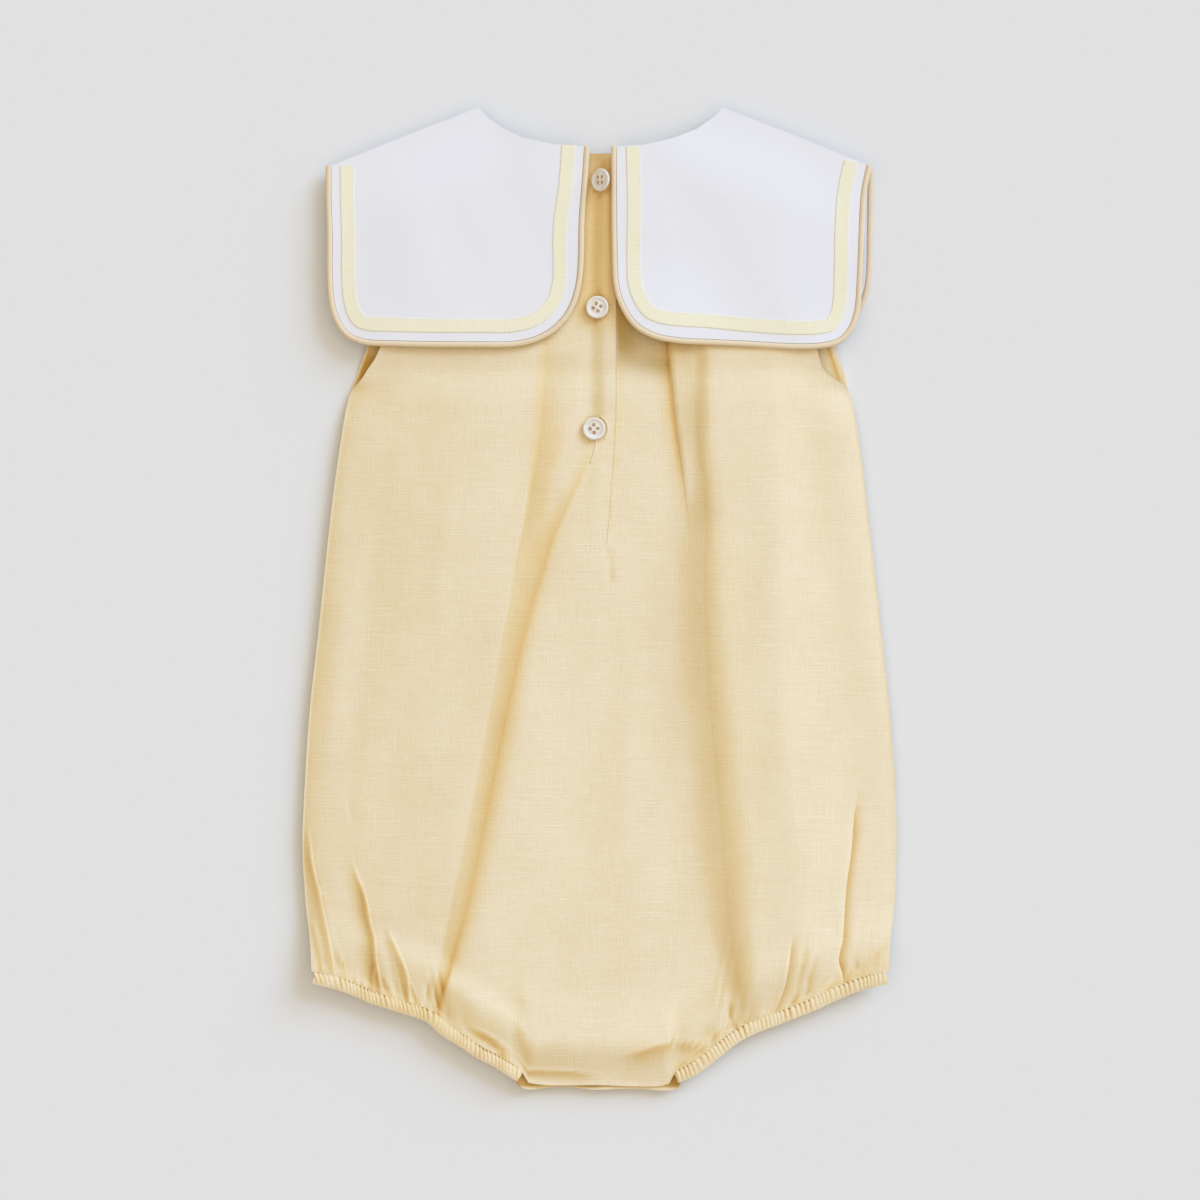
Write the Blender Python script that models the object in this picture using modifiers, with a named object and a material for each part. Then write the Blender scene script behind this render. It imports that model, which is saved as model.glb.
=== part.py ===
"""Baby bubble romper with a split sailor collar, laid flat on its front.

The back of the garment faces up (+Z) and the neck points to +Y. The garment rests on z = 0.
From the surface up it is: front collar, front panel, back panel, placket, back collar wings,
piping, ribbon and buttons. Lengths are written in millimetres and scaled to metres at the end.
"""
import math
from collections import namedtuple

import bmesh
import bpy
from mathutils import Vector

MM = 0.001

# Cloth and the gaps between pieces
LINEN_WALL = 1.0
COLLAR_WALL = 1.2
WING_LIFT = 0.5
RIBBON_WALL = 1.0
SEAM_GAP = 0.3

# Trim
PIPING_WIDTH = 2.7
PIPING_HEIGHT = 2.0
FLAT_PIPING_HEIGHT = 1.2
WHITE_MARGIN = 4.4
RIBBON_WIDTH = 6.35
RIBBON_LIFT = 0.6

# Leg hems
HEM_SEAM_GAP = 0.7
CASING_WIDTH = 5.6
CASING_RIBS = 48
CASING_RIB_DEPTH = 0.4
CASING_ARCH = 0.7
FRONT_CASING_WALL = 1.5
BACK_CASING_LEVEL = 2.3

# Placket
SLIT_END = 21.0
SLIT_OPENING = 0.3
UNDERLAP_WIDTH = 12.5
LAP_WIDTH = 16.0
LAP_RAMP = 5.0
LAP_FADE = 12.0
UNDERLAP_DROP = 0.5

# Buttons
BUTTON_RADIUS = 5.45
BUTTON_HOLE_RADIUS = 0.6
BUTTON_HOLE_SPACING = 1.45
BUTTON_SIDES = 20

# Puff of the laid-out body
SIDE_CURL = 2.2
SIDE_CURL_WIDTH = 22.0
CROWN = 3.9
CROWN_REACH = 6.0
MIDDLE_SAG = 0.8
LEAST_CROWN = 0.3
COLLAR_PRESS = 0.84
HEM_PUFF_REACH = 20.0
GATHER_DEPTH = 0.75
GATHER_REACH = 15.0
OVERHANG_LEVEL = 3.2
SHOULDER_EDGE_LEVEL = 1.7
SHOULDER_TURN = 4.6

# Pleats and the folds that they open into: heights, and widths on the soft and the sharp side
PLEAT_AT_COLLAR = 2.3
PLEAT_AT_HEM = 1.1
VALLEY_TOP = 74.0
VALLEY_DEPTH = 1.9
VALLEY_BANK = 0.9
TUCK_HEIGHT = 1.5
SOFT_VALLEY_DEPTH = 1.9
SOFT_CREST_HEIGHT = 1.1
PLEAT_WIDTHS = (30.0, 2.6)
VALLEY_WIDTHS = (11.0, 3.5)
BANK_WIDTHS = (26.0, 6.0)
BANK_OFFSET = 6.0
TUCK_WIDTHS = (9.0, 2.4)
SOFT_VALLEY_WIDTH = 17.0
SOFT_CREST_WIDTH = 26.0

# Half outlines of the body by distance up the garment
EdgeRow = namedtuple("EdgeRow", "y back_left back_right front_left front_right")
EDGES = [
    EdgeRow(215, -96, 95, -96, 95),
    EdgeRow(172, -93.5, 92.5, -98, 98),
    EdgeRow(143, -97, 96, -105, 106),
    EdgeRow(121, -105, 104, -112, 113.5),
    EdgeRow(115, -108, 105.6, -114, 115.5),
    EdgeRow(111, -110.9, 107, -115.7, 117),
    EdgeRow(107, -113.3, 111, -117, 118.5),
    EdgeRow(103, -116.8, 117.3, -118.8, 119.3),
    EdgeRow(98, -120, 120.3, -120, 120.3),
    EdgeRow(77, -124, 124.5, -124, 124.5),
    EdgeRow(47, -128.2, 128.2, -128.2, 128.2),
    EdgeRow(-20, -135.4, 135.8, -135.4, 135.8),
    EdgeRow(-58, -139.5, 139.7, -139.5, 139.7),
    EdgeRow(-96, -141.8, 142.2, -141.8, 142.2),
    EdgeRow(-116, -142.6, 142.6, -142.6, 142.6),
    EdgeRow(-145, -141.1, 141.6, -141.1, 141.6),
    EdgeRow(-164, -138.6, 139.2, -138.6, 139.2),
    EdgeRow(-184, -137.3, 137.8, -137.3, 137.8),
]

# Lines that run down the back panel, each an x for a distance up the garment
FoldRow = namedtuple("FoldRow", "y left_pleat left_valley left_crotch slit right_crotch "
                                "right_pleat right_valley right_crest")
FOLD_LINES = [
    FoldRow(215, -27, -12, -2, 9, 22, 30, 46, 88),
    FoldRow(123, -27.8, -7, 0, 8.7, 24, 34.6, 47.5, 91.5),
    FoldRow(94, -30, -5, 1, 8.2, 25, 37, 51, 92),
    FoldRow(70, -30.9, -4.3, 1, 7, 25, 38.8, 52.5, 92.5),
    FoldRow(36, -35, -17.3, -7, 5, 26, 41.5, 52.3, 93),
    FoldRow(9, -40.3, -29, -15, 4.3, 26, 42.5, 51.5, 93.5),
    FoldRow(-20, -47, -39.5, -22, 4.5, 27, 43.5, 52.6, 94),
    FoldRow(-51, -53.8, -45.5, -27, 5, 29, 46, 55, 94.5),
    FoldRow(-97, -62.5, -53, -31, 5, 32, 50, 60.5, 99),
    FoldRow(-148, -72.8, -63.4, -34, 4.5, 34, 54, 65, 105),
    FoldRow(-195, -80.8, -74.6, -38.4, 4, 36.8, 60, 72.5, 106.5),
    FoldRow(-233, -84, -78, -38.4, 4, 36.8, 64, 75, 107),
]

# The neck and shoulder edges of the two body panels, left to right
BACK_TOP = [(-96, 214.8), (-62, 227.6), (-50, 223.5), (-36, 217.8), (-21, 214.8), (0, 213.8),
            (21, 214.8), (36, 217.8), (50, 223.5), (61, 227.6), (95, 214.8)]
FRONT_TOP = [(-96, 214.8), (-62, 227.6), (-48, 205), (-28, 190), (0, 184),
             (28, 190), (48, 205), (61, 227.6), (95, 214.8)]

# Lower edges of the leg hems, left to right, and of the crotch
LEFT_HEM = [(-137.3, -183.4), (-127, -186), (-119.5, -188.8), (-110.5, -192.8), (-95.5, -197.6),
            (-83, -202), (-76, -208), (-66.2, -214.2), (-59.5, -218.9), (-50, -223.8),
            (-41.8, -229.2)]
RIGHT_HEM = [(39.8, -230.4), (47.5, -226.4), (59.5, -217.2), (67, -211.5), (74.9, -207.4),
             (89.3, -202), (103.2, -196.4), (113.8, -191.5), (126.7, -186.3), (137.8, -183.4)]
BACK_CROTCH = [(-35, -229.3), (-31, -231.6), (-22, -232.8), (0, -232.8), (13.4, -233.3),
               (27.4, -233.1), (32.4, -231.8), (35.4, -229.8)]
FRONT_CROTCH_SEAM = -217.4
CROTCH_LEFT = -37.3
CROTCH_RIGHT = 36.6
CROTCH_BAND_SIDE_LEFT = [(-37, -217.8), (-37.9, -224.6), (-41, -230.2)]
CROTCH_BAND_SIDE_RIGHT = [(36.2, -217.8), (36.5, -225.6), (39, -231.4)]
CROTCH_BAND_EDGE = [(-41, -230.2), (-37.4, -234.2), (-32, -235.3), (-22, -234), (-12, -234.2),
                    (-4, -235.4), (10, -235), (22, -235.2), (34, -235.7), (37.6, -234.4),
                    (39, -231.4)]

# Outer edges of the collar, piping included, from the left top corner round to the right one
LEFT_WING = [(-131, 207.8), (-130.6, 192), (-130.1, 175), (-129.7, 156), (-128.6, 143),
             (-125.8, 133.5), (-120.5, 126.5), (-112.5, 122.6), (-100, 121.2), (-85, 120.6),
             (-57, 120.6), (-42, 121.4), (-31.5, 124), (-22.5, 129.6), (-15.6, 138.6),
             (-11, 150), (-8, 163), (-6.5, 182), (-6, 200), (-5.3, 216.6)]
RIGHT_WING = [(6.2, 216.6), (6.2, 198), (6.4, 178), (6.9, 162), (8.4, 150), (11.8, 140.6),
              (18, 131.6), (26.6, 125.6), (38, 122.4), (52, 121.2), (69, 120.5), (94, 120.1),
              (107, 120.6), (115.5, 123.6), (121.6, 129.6), (124.4, 138.6), (125.2, 156),
              (125.8, 176), (127, 195), (130.1, 207.8)]
LEFT_WING_TOP = [(-131, 207.8), (-96, 221), (-58, 235.7), (-53.5, 230.8), (-46, 225.4),
                 (-36, 220.6), (-21, 217.4), (-5.3, 216.6)]
RIGHT_WING_TOP = [(6.2, 216.6), (20, 217.2), (34.5, 220.4), (46, 225), (54.7, 231), (59, 235.7),
                  (94, 222.2), (130.1, 207.8)]
LEFT_WING_CORNERS = (0.30, 0.645)
RIGHT_WING_CORNERS = (0.345, 0.69)
FRONT_COLLAR = [(-128.6, 206.5), (-128.6, 190), (-128.4, 172), (-127.6, 150), (-123.6, 137),
                (-115, 127.6), (-103, 124), (-85, 123.2), (-45, 123), (0, 123), (45, 123),
                (85, 123.2), (104, 124), (117.5, 129), (126, 139), (129.8, 148.5), (131, 158),
                (131.4, 175), (131.6, 190), (131.9, 206.5)]
FRONT_COLLAR_CORNERS = (0.20, 0.81)
FRONT_COLLAR_TOP = [(-128.6, 206.5), (-94, 220), (-60, 233), (-52, 214), (-32, 196), (0, 189),
                    (32, 196), (52, 214), (61, 233), (96, 220), (131.9, 206.5)]

# Raised folds (positive) and troughs (negative). Line points go down the garment.
Fold = namedtuple("Fold", "height left_width right_width end_fade line")
FREE_FOLDS = [
    Fold(-1.0, 8, 8, 18, [(133, -66), (125.8, -100), (120.5, -124), (119, -148), (117, -178)]),
    Fold(-0.9, 7, 9, 16, [(-139, -122), (-134, -150), (-128, -180)]),
    Fold(-1.0, 7, 9, 16, [(-117, -132), (-109.5, -158), (-107.5, -186)]),
    Fold(-0.9, 5, 7, 10, [(-100, -163), (-92, -190)]),
    Fold(-0.8, 6, 6, 12, [(95, -162), (87.5, -194)]),
    Fold(-0.9, 5, 5, 7, [(18.7, -213.5), (34, -212), (47, -213.5), (56, -219)]),
    Fold(-0.7, 4, 5, 10, [(-38, -225.4), (-22, -228), (-3, -228.6)]),
    Fold(0.6, 16, 16, 40, [(-68, 75), (-74, 30), (-82, -30)]),
]

ButtonSpot = namedtuple("ButtonSpot", "x y tilt turn")
BUTTONS = [
    ButtonSpot(0.6, 201.1, 36, 45),
    ButtonSpot(-1.2, 139.7, 6, 10),
    ButtonSpot(-2.6, 81.6, 2, 5),
]

LINEN = (0.83, 0.70, 0.46, 1)
COTTON = (0.82, 0.82, 0.84, 1)
RIBBON = (0.84, 0.79, 0.60, 1)
PIPING = (0.80, 0.66, 0.47, 1)
BUTTON_SHELL = (0.80, 0.78, 0.73, 1)


# ---------------------------------------------------------------- curves and tables

def mix(start, end, share):
    return start + (end - start) * share


def smooth(share):
    share = max(0.0, min(1.0, share))
    return share * share * (3 - 2 * share)


def table_value(rows, column, y):
    """The column of a table at height y, on a smooth curve through its rows."""
    y = max(rows[-1].y, min(rows[0].y, y))
    index = 0
    while index < len(rows) - 2 and y < rows[index + 1].y:
        index += 1
    upper, lower = rows[index], rows[index + 1]
    before = rows[max(0, index - 1)]
    after = rows[min(len(rows) - 1, index + 2)]
    span = lower.y - upper.y
    share = (y - upper.y) / span

    def slope(first, second):
        return (getattr(second, column) - getattr(first, column)) / (second.y - first.y)

    def joint_slope(first, second):
        return 0.0 if first * second <= 0 else 2 * first * second / (first + second)

    here = slope(upper, lower)
    start = joint_slope(slope(before, upper), here) if before is not upper else here
    end = joint_slope(here, slope(lower, after)) if after is not lower else here
    low, high = getattr(upper, column), getattr(lower, column)
    back = 1 - share
    return (high * share * share * (3 - 2 * share) + low * back * back * (3 - 2 * back)
            + span * share * back * (start * back - end * share))


def smooth_line(points, steps=8):
    """A dense line on a smooth curve through hand-placed points."""
    line = []
    count = len(points)
    for index in range(count - 1):
        first, second = Vector(points[index]), Vector(points[index + 1])
        before = Vector(points[max(0, index - 1)])
        after = Vector(points[min(count - 1, index + 2)])
        length = (second - first).length
        start = (second - before).normalized() * length
        end = (after - first).normalized() * length
        for step in range(steps):
            t = step / steps
            line.append((2 * t**3 - 3 * t**2 + 1) * first + (t**3 - 2 * t**2 + t) * start
                        + (3 * t**2 - 2 * t**3) * second + (t**3 - t**2) * end)
    line.append(Vector(points[-1]))
    return line


def straight_line(points):
    return [Vector(point) for point in points]


def offset_line(line, distance):
    """The line moved to the left of its direction of travel."""
    moved = []
    for index, point in enumerate(line):
        ahead = line[min(len(line) - 1, index + 1)]
        behind = line[max(0, index - 1)]
        along = (ahead - behind).normalized()
        moved.append(point + distance * Vector((-along.y, along.x)))
    return moved


def line_lengths(line):
    lengths = [0.0]
    for first, second in zip(line, line[1:]):
        lengths.append(lengths[-1] + (second - first).length)
    return lengths


def at_shares(line, shares):
    """Points at these shares of the line's length, in rising order."""
    lengths = line_lengths(line)
    spots = []
    index = 0
    for wanted in shares:
        target = lengths[-1] * wanted
        while index < len(line) - 2 and lengths[index + 1] < target:
            index += 1
        share = (target - lengths[index]) / max(1e-9, lengths[index + 1] - lengths[index])
        spots.append(line[index].lerp(line[index + 1], min(1.0, share)))
    return spots


def resample(line, count):
    return at_shares(line, [step / count for step in range(count + 1)])


def line_part(line, start, end):
    """The stretch of a line between two shares of its length."""
    steps = len(line)
    return at_shares(line, [mix(start, end, step / steps) for step in range(steps + 1)])


def across(line, x):
    """The height of a left-to-right line at x."""
    if x <= line[0].x:
        return line[0].y
    for first, second in zip(line, line[1:]):
        if x <= second.x:
            return mix(first.y, second.y, (x - first.x) / max(1e-9, second.x - first.x))
    return line[-1].y


def line_distance(line, x, y):
    """Signed distance from a line (right of travel negative) and length to its nearer end."""
    spot = Vector((x, y))
    best = None
    lengths = line_lengths(line)
    for index, (first, second) in enumerate(zip(line, line[1:])):
        run = second - first
        share = max(0.0, min(1.0, (spot - first).dot(run) / run.length_squared))
        away = spot - first.lerp(second, share)
        if best is None or away.length < best[0]:
            along = lengths[index] + share * run.length
            side = 1 if run.x * away.y - run.y * away.x > 0 else -1
            best = (away.length, side, along)
    return best[0] * best[1], min(best[2], lengths[-1] - best[2])


LEFT_HEM_LINE = smooth_line(LEFT_HEM)
RIGHT_HEM_LINE = smooth_line(RIGHT_HEM)
HEM_ALLOWANCE = CASING_WIDTH + HEM_SEAM_GAP
BACK_BOTTOM_LINE = (offset_line(LEFT_HEM_LINE, HEM_ALLOWANCE) + smooth_line(BACK_CROTCH)
                    + offset_line(RIGHT_HEM_LINE, HEM_ALLOWANCE))
FRONT_BOTTOM_LINE = (offset_line(LEFT_HEM_LINE, HEM_ALLOWANCE)
                     + straight_line([(CROTCH_LEFT, FRONT_CROTCH_SEAM),
                                      (CROTCH_RIGHT, FRONT_CROTCH_SEAM)])
                     + offset_line(RIGHT_HEM_LINE, HEM_ALLOWANCE))
BACK_TOP_LINE = straight_line(BACK_TOP)
FRONT_TOP_LINE = straight_line(FRONT_TOP)
FREE_FOLD_LINES = [smooth_line(fold.line, 3) for fold in FREE_FOLDS]


# ---------------------------------------------------------------- heights of the layers

def edge_x(column, y):
    return table_value(EDGES, column, y)


def fold_x(column, y):
    return table_value(FOLD_LINES, column, y)


def front_top_z(x, y):
    """The inner face of the front panel: flat, over the front collar, curled up at the sides."""
    over_collar = (FLAT_PIPING_HEIGHT + 0.3 + SEAM_GAP) * smooth((y - 107) / 13)
    inside = min(x - edge_x("front_left", y), edge_x("front_right", y) - x)
    curl = SIDE_CURL * smooth(1 - inside / SIDE_CURL_WIDTH)
    curl *= smooth((103 - y) / 25) * smooth((y + 182) / 30)
    return LINEN_WALL + over_collar + curl


def step_fold(distance, height, high_width, low_width):
    """A folded edge: full height at distance 0, soft on the positive side, sharp on the other."""
    if distance >= 0:
        return height * smooth(1 - distance / high_width)
    return height * smooth(1 + distance / low_width)


def pleats(x, y):
    """The two neck pleats and the valleys that they open into."""
    under_collar = 1 - 0.6 * smooth((y - 118) / 20)
    fade_neck = smooth((212 - y) / 30)
    left_height = mix(PLEAT_AT_HEM, PLEAT_AT_COLLAR, smooth((y + 195) / 120))
    left = step_fold(fold_x("left_pleat", y) - x, left_height, *PLEAT_WIDTHS)
    opening = smooth((VALLEY_TOP - y) / 30)
    valley_x = fold_x("left_valley", y)
    valley = -step_fold(valley_x - x, VALLEY_DEPTH * opening, *VALLEY_WIDTHS)
    valley += step_fold(x - valley_x - BANK_OFFSET, VALLEY_BANK * opening, *BANK_WIDTHS)
    tuck_height = TUCK_HEIGHT * smooth((y - 15) / 40)
    right = step_fold(x - fold_x("right_pleat", y), tuck_height, *TUCK_WIDTHS)
    from_valley = abs(x - fold_x("right_valley", y))
    from_crest = abs(x - fold_x("right_crest", y))
    soft = -SOFT_VALLEY_DEPTH * smooth(1 - from_valley / SOFT_VALLEY_WIDTH)
    soft += SOFT_CREST_HEIGHT * smooth(1 - from_crest / SOFT_CREST_WIDTH)
    return (left + valley + right + soft) * under_collar * fade_neck


def free_folds(x, y):
    total = 0.0
    for fold, line in zip(FREE_FOLDS, FREE_FOLD_LINES):
        away, to_end = line_distance(line, x, y)
        width = fold.left_width if away < 0 else fold.right_width
        if abs(away) < width:
            total += fold.height * smooth(1 - abs(away) / width) * smooth(to_end / fold.end_fade)
    return total


def lap_rise(x, y):
    """How far the overlapping side of the placket is lifted by the underlap beneath it."""
    over = fold_x("slit", y) - x
    if over < 0:
        return 0.0
    return ((LINEN_WALL + SEAM_GAP) * smooth((LAP_WIDTH + LAP_RAMP - over) / LAP_RAMP)
            * smooth((y - SLIT_END) / LAP_FADE))


def back_under_z(x, y, gather=0.0):
    """The inner face of the back panel, without the lift of the placket."""
    inside = max(0.0, min(x - edge_x("back_left", y), edge_x("back_right", y) - x))
    above_hem = y - across(BACK_BOTTOM_LINE, x)
    below_top = across(BACK_TOP_LINE, x) - y
    crown = CROWN * (1 - math.exp(-inside / CROWN_REACH)) - MIDDLE_SAG * smooth(inside / 70)
    crown *= 1 - COLLAR_PRESS * smooth((y - 92) / 32)
    crown *= mix(0.35, 1.0, smooth(above_hem / HEM_PUFF_REACH)) * smooth(below_top / 15)
    crown += pleats(x, y) + free_folds(x, y)
    crown += gather * math.exp(-max(0.0, above_hem) / GATHER_REACH)
    return front_top_z(x, y) + SEAM_GAP + max(LEAST_CROWN, crown)


def back_top_z(x, y):
    return back_under_z(x, y) + lap_rise(x, y) + LINEN_WALL


def body_cover_z(x, y):
    """The level that a collar wing rests on: over the body, then sinking past its edge."""
    left, right = edge_x("back_left", y), edge_x("back_right", y)
    held_x = max(left, min(right, x))
    held_y = min(y, across(BACK_TOP_LINE, held_x))
    level = max(back_top_z(held_x + dx, held_y + dy) for dx in (-4, 0, 4) for dy in (-4, 0, 4))
    past_slit = x - fold_x("slit", y)
    if past_slit > 0:
        level += (LINEN_WALL + SEAM_GAP) * smooth((9 - past_slit) / 6)
    past = max(left - x, x - right, 0.0)
    return mix(level, OVERHANG_LEVEL - WING_LIFT, smooth(past / 24))


def wing_under_z(x, y, shoulder):
    away, _ = line_distance(shoulder, x, y)
    turn = smooth(1 - abs(away) / SHOULDER_TURN)
    return mix(body_cover_z(x, y) + WING_LIFT, SHOULDER_EDGE_LEVEL, turn)


# ---------------------------------------------------------------- objects

def clear_scene():
    for old in list(bpy.data.objects):
        bpy.data.objects.remove(old)


def new_collection(name):
    collection = bpy.data.collections.new(name)
    bpy.context.scene.collection.children.link(collection)
    return collection


def new_material(name, color, roughness):
    material = bpy.data.materials.new(name)
    material.use_nodes = True
    shader = material.node_tree.nodes["Principled BSDF"]
    shader.inputs["Base Color"].default_value = color
    shader.inputs["Roughness"].default_value = roughness
    shader.inputs["Metallic"].default_value = 0.0
    return material


def add_object(name, mesh, color, roughness, collection):
    mesh.materials.append(new_material(name, color, roughness))
    piece = bpy.data.objects.new(name, mesh)
    collection.objects.link(piece)
    return piece


def sheet(name, columns, rows, place, wall, color, collection, grows=1, slit_column=None,
          slit_rows=0):
    """A grid set out by place(column, row, side), given its wall by Solidify.

    grows is 1 when the placed face is the lower one and -1 when it is the upper one. Edges on
    slit_column are cut open over the first slit_rows rows; side is then -1 or 1 there.
    """
    bm = bmesh.new()
    bmesh.ops.create_grid(bm, x_segments=columns, y_segments=rows, size=0.5)
    spots = {vert: (round((vert.co.x + 0.5) * columns), round((0.5 - vert.co.y) * rows))
             for vert in bm.verts}
    if slit_column is not None:
        cut = [edge for edge in bm.edges
               if all(spots[v][0] == slit_column and spots[v][1] <= slit_rows for v in edge.verts)]
        bmesh.ops.split_edges(bm, edges=cut)
    for vert in bm.verts:
        column = round((vert.co.x + 0.5) * columns)
        row = round((0.5 - vert.co.y) * rows)
        side = 0
        if column == slit_column and row < slit_rows:
            middle = sum(face.calc_center_median().x for face in vert.link_faces)
            side = 1 if middle / len(vert.link_faces) > vert.co.x else -1
        spots[vert] = (column, row, side)
    for vert in bm.verts:
        vert.co = MM * Vector(place(*spots[vert]))
    mesh = bpy.data.meshes.new(name)
    bm.to_mesh(mesh)
    bm.free()
    mesh.shade_smooth()
    piece = add_object(name, mesh, color, 0.9, collection)
    solid = piece.modifiers.new("wall", "SOLIDIFY")
    solid.thickness = wall * MM
    solid.offset = grows
    return piece


def spread(start, end, count):
    return [mix(start, end, step / count) for step in range(count)]


def body_grid(keys, key_columns, top_line, bottom_line, rows):
    """Points of a body panel as rows of (x, y), following its lines from neck to hem.

    keys are functions that give an x for a y; key_columns are column places counted in keys.
    """
    def line_x(place, y):
        index = min(int(place), len(keys) - 2)
        return mix(keys[index](y), keys[index + 1](y), place - index)

    grid = []
    for place in key_columns:
        top, bottom = 200.0, -200.0
        for _ in range(6):
            top = across(top_line, line_x(place, top))
            bottom = across(bottom_line, line_x(place, bottom))
        column = []
        for share in rows:
            y = mix(top, bottom, share)
            column.append((line_x(place, y), y))
        grid.append(column)
    return grid


def build_front_panel(collection):
    keys = [lambda y: edge_x("front_left", y), lambda y: CROTCH_LEFT - 1.4,
            lambda y: CROTCH_LEFT, lambda y: CROTCH_RIGHT, lambda y: CROTCH_RIGHT + 1.4,
            lambda y: edge_x("front_right", y)]
    columns_between = [9, 1, 4, 1, 9]
    places = []
    for index, count in enumerate(columns_between):
        places += spread(index, index + 1, count)
    places.append(len(columns_between))
    columns = len(places) - 1
    shares = spread(0, 0.16, 2) + spread(0.16, 0.29, 8) + spread(0.29, 1, 9) + [1]
    rows = len(shares) - 1
    grid = body_grid(keys, places, FRONT_TOP_LINE, FRONT_BOTTOM_LINE, shares)

    def place(column, row, side):
        x, y = grid[column][row]
        return x, y, front_top_z(x, y)

    sheet("front_panel", columns, rows, place, LINEN_WALL, LINEN, collection, grows=-1)


def build_back_panel(collection):
    names = ["left_pleat", "left_valley", "left_crotch", "slit", "right_crotch", "right_valley",
             "right_crest"]
    keys = [lambda y: edge_x("back_left", y)]
    keys += [lambda y, name=name: fold_x(name, y) for name in names]
    keys += [lambda y: edge_x("back_right", y)]
    columns_between = [12, 3, 4, 4, 4, 4, 7, 7]
    places = []
    for index, count in enumerate(columns_between):
        places += spread(index, index + 1, count)
    places.append(len(columns_between))
    slit_column = sum(columns_between[:4])
    row_count = 32
    shares = [1 - (1 - step / row_count) ** 1.45 for step in range(row_count + 1)]
    grid = body_grid(keys, places, BACK_TOP_LINE, BACK_BOTTOM_LINE, shares)
    slit_rows = sum(1 for _, y in grid[slit_column] if y > SLIT_END)

    def place(column, row, side):
        x, y = grid[column][row]
        in_crotch = CROTCH_LEFT - 3 < grid[column][-1][0] < CROTCH_RIGHT + 3
        gather = 0.0 if in_crotch else GATHER_DEPTH * (1 if column % 2 else -1)
        z = back_under_z(x, y, gather)
        if side < 1:
            z += lap_rise(x, y)
        return x + side * SLIT_OPENING / 2, y, z

    sheet("back_panel", len(places) - 1, row_count, place, LINEN_WALL, LINEN, collection,
          slit_column=slit_column, slit_rows=slit_rows)


def build_underlap(collection):
    columns, rows = 3, 24

    def place(column, row, side):
        y = mix(213.0, SLIT_END + LAP_FADE + 6, row / rows)
        x = fold_x("slit", y) - SEAM_GAP - UNDERLAP_WIDTH * (1 - column / columns)
        return x, y, back_under_z(x, y) - UNDERLAP_DROP

    sheet("placket_underlap", columns, rows, place, LINEN_WALL, LINEN, collection)


def coons(top, bottom, left, right, columns, shares):
    """Points of a four-sided patch between boundary lines; left and right run downwards."""
    top, bottom = resample(top, columns), resample(bottom, columns)
    left, right = at_shares(left, shares), at_shares(right, shares)
    grid = []
    for column in range(columns + 1):
        u = column / columns
        points = []
        for row, v in enumerate(shares):
            ruled = mix(top[column], bottom[column], v) + mix(left[row], right[row], u)
            corners = mix(mix(top[0], top[-1], u), mix(bottom[0], bottom[-1], u), v)
            points.append(ruled - corners)
        grid.append(points)
    return grid


def collar_grid(outline, top, corners, columns, shares):
    """Points of a collar piece inside its piping."""
    edge = offset_line(smooth_line(outline), PIPING_WIDTH + SEAM_GAP)
    left = line_part(edge, 0, corners[0])
    bottom = line_part(edge, corners[0], corners[1])
    right = line_part(edge, corners[1], 1)
    head = [left[0]] + straight_line(top[1:-1]) + [right[-1]]
    return coons(head, bottom, left, list(reversed(right)), columns, shares)


def trim_path(outline, inset, count):
    return resample(offset_line(smooth_line(outline), inset), count)


def build_wing(side, outline, top, corners, shoulder, collection):
    columns = 20
    shares = spread(0, 0.08, 2) + spread(0.08, 1, 9) + [1]
    grid = collar_grid(outline, top, corners, columns, shares)

    def place(column, row, _):
        x, y = grid[column][row]
        return x, y, wing_under_z(x, y, shoulder)

    sheet(f"collar_wing_{side}", columns, len(shares) - 1, place, COLLAR_WALL, COTTON,
          collection)


def build_ribbon(side, outline, shoulder, collection):
    centre = PIPING_WIDTH + WHITE_MARGIN + RIBBON_WIDTH / 2
    shares = spread(0, 0.03, 2) + spread(0.03, 0.97, 36) + spread(0.97, 1, 2) + [1]
    middle = at_shares(offset_line(smooth_line(outline), centre), shares)
    outer = offset_line(middle, -RIBBON_WIDTH / 2)
    inner = offset_line(middle, RIBBON_WIDTH / 2)

    def place(column, row, _):
        x, y = inner[column].lerp(outer[column], row)
        return x, y, wing_under_z(x, y, shoulder) + COLLAR_WALL + RIBBON_LIFT

    sheet(f"ribbon_{side}", len(shares) - 1, 1, place, RIBBON_WALL, RIBBON, collection)


def ellipse_profile(name, width, height, collection):
    curve = bpy.data.curves.new(name, "CURVE")
    curve.dimensions = "2D"
    spline = curve.splines.new("POLY")
    sides = 6
    spline.points.add(sides - 1)
    for index in range(sides):
        angle = -2 * math.pi * (index + 0.5) / sides
        spline.points[index].co = (MM * width / 2 * math.cos(angle),
                                   MM * height / 2 * math.sin(angle), 0, 1)
    spline.use_cyclic_u = True
    profile = bpy.data.objects.new(name, curve)
    profile.hide_render = True
    profile.display_type = "WIRE"
    collection.objects.link(profile)
    return profile


def build_piping(name, path, profile, collection):
    curve = bpy.data.curves.new(name, "CURVE")
    curve.dimensions = "3D"
    curve.twist_mode = "Z_UP"
    curve.bevel_mode = "OBJECT"
    curve.bevel_object = profile
    curve.use_fill_caps = True
    spline = curve.splines.new("POLY")
    spline.points.add(len(path) - 1)
    for point, spot in zip(spline.points, path):
        point.co = (MM * spot[0], MM * spot[1], MM * spot[2], 1)
    add_object(name, curve, PIPING, 0.8, collection)


def build_wing_piping(side, outline, shoulder, profile, collection):
    path = trim_path(outline, PIPING_WIDTH / 2, 40)
    spots = [(x, y, wing_under_z(x, y, shoulder) + PIPING_HEIGHT / 2 + SEAM_GAP)
             for x, y in path]
    build_piping(f"piping_{side}", spots, profile, collection)


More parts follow.
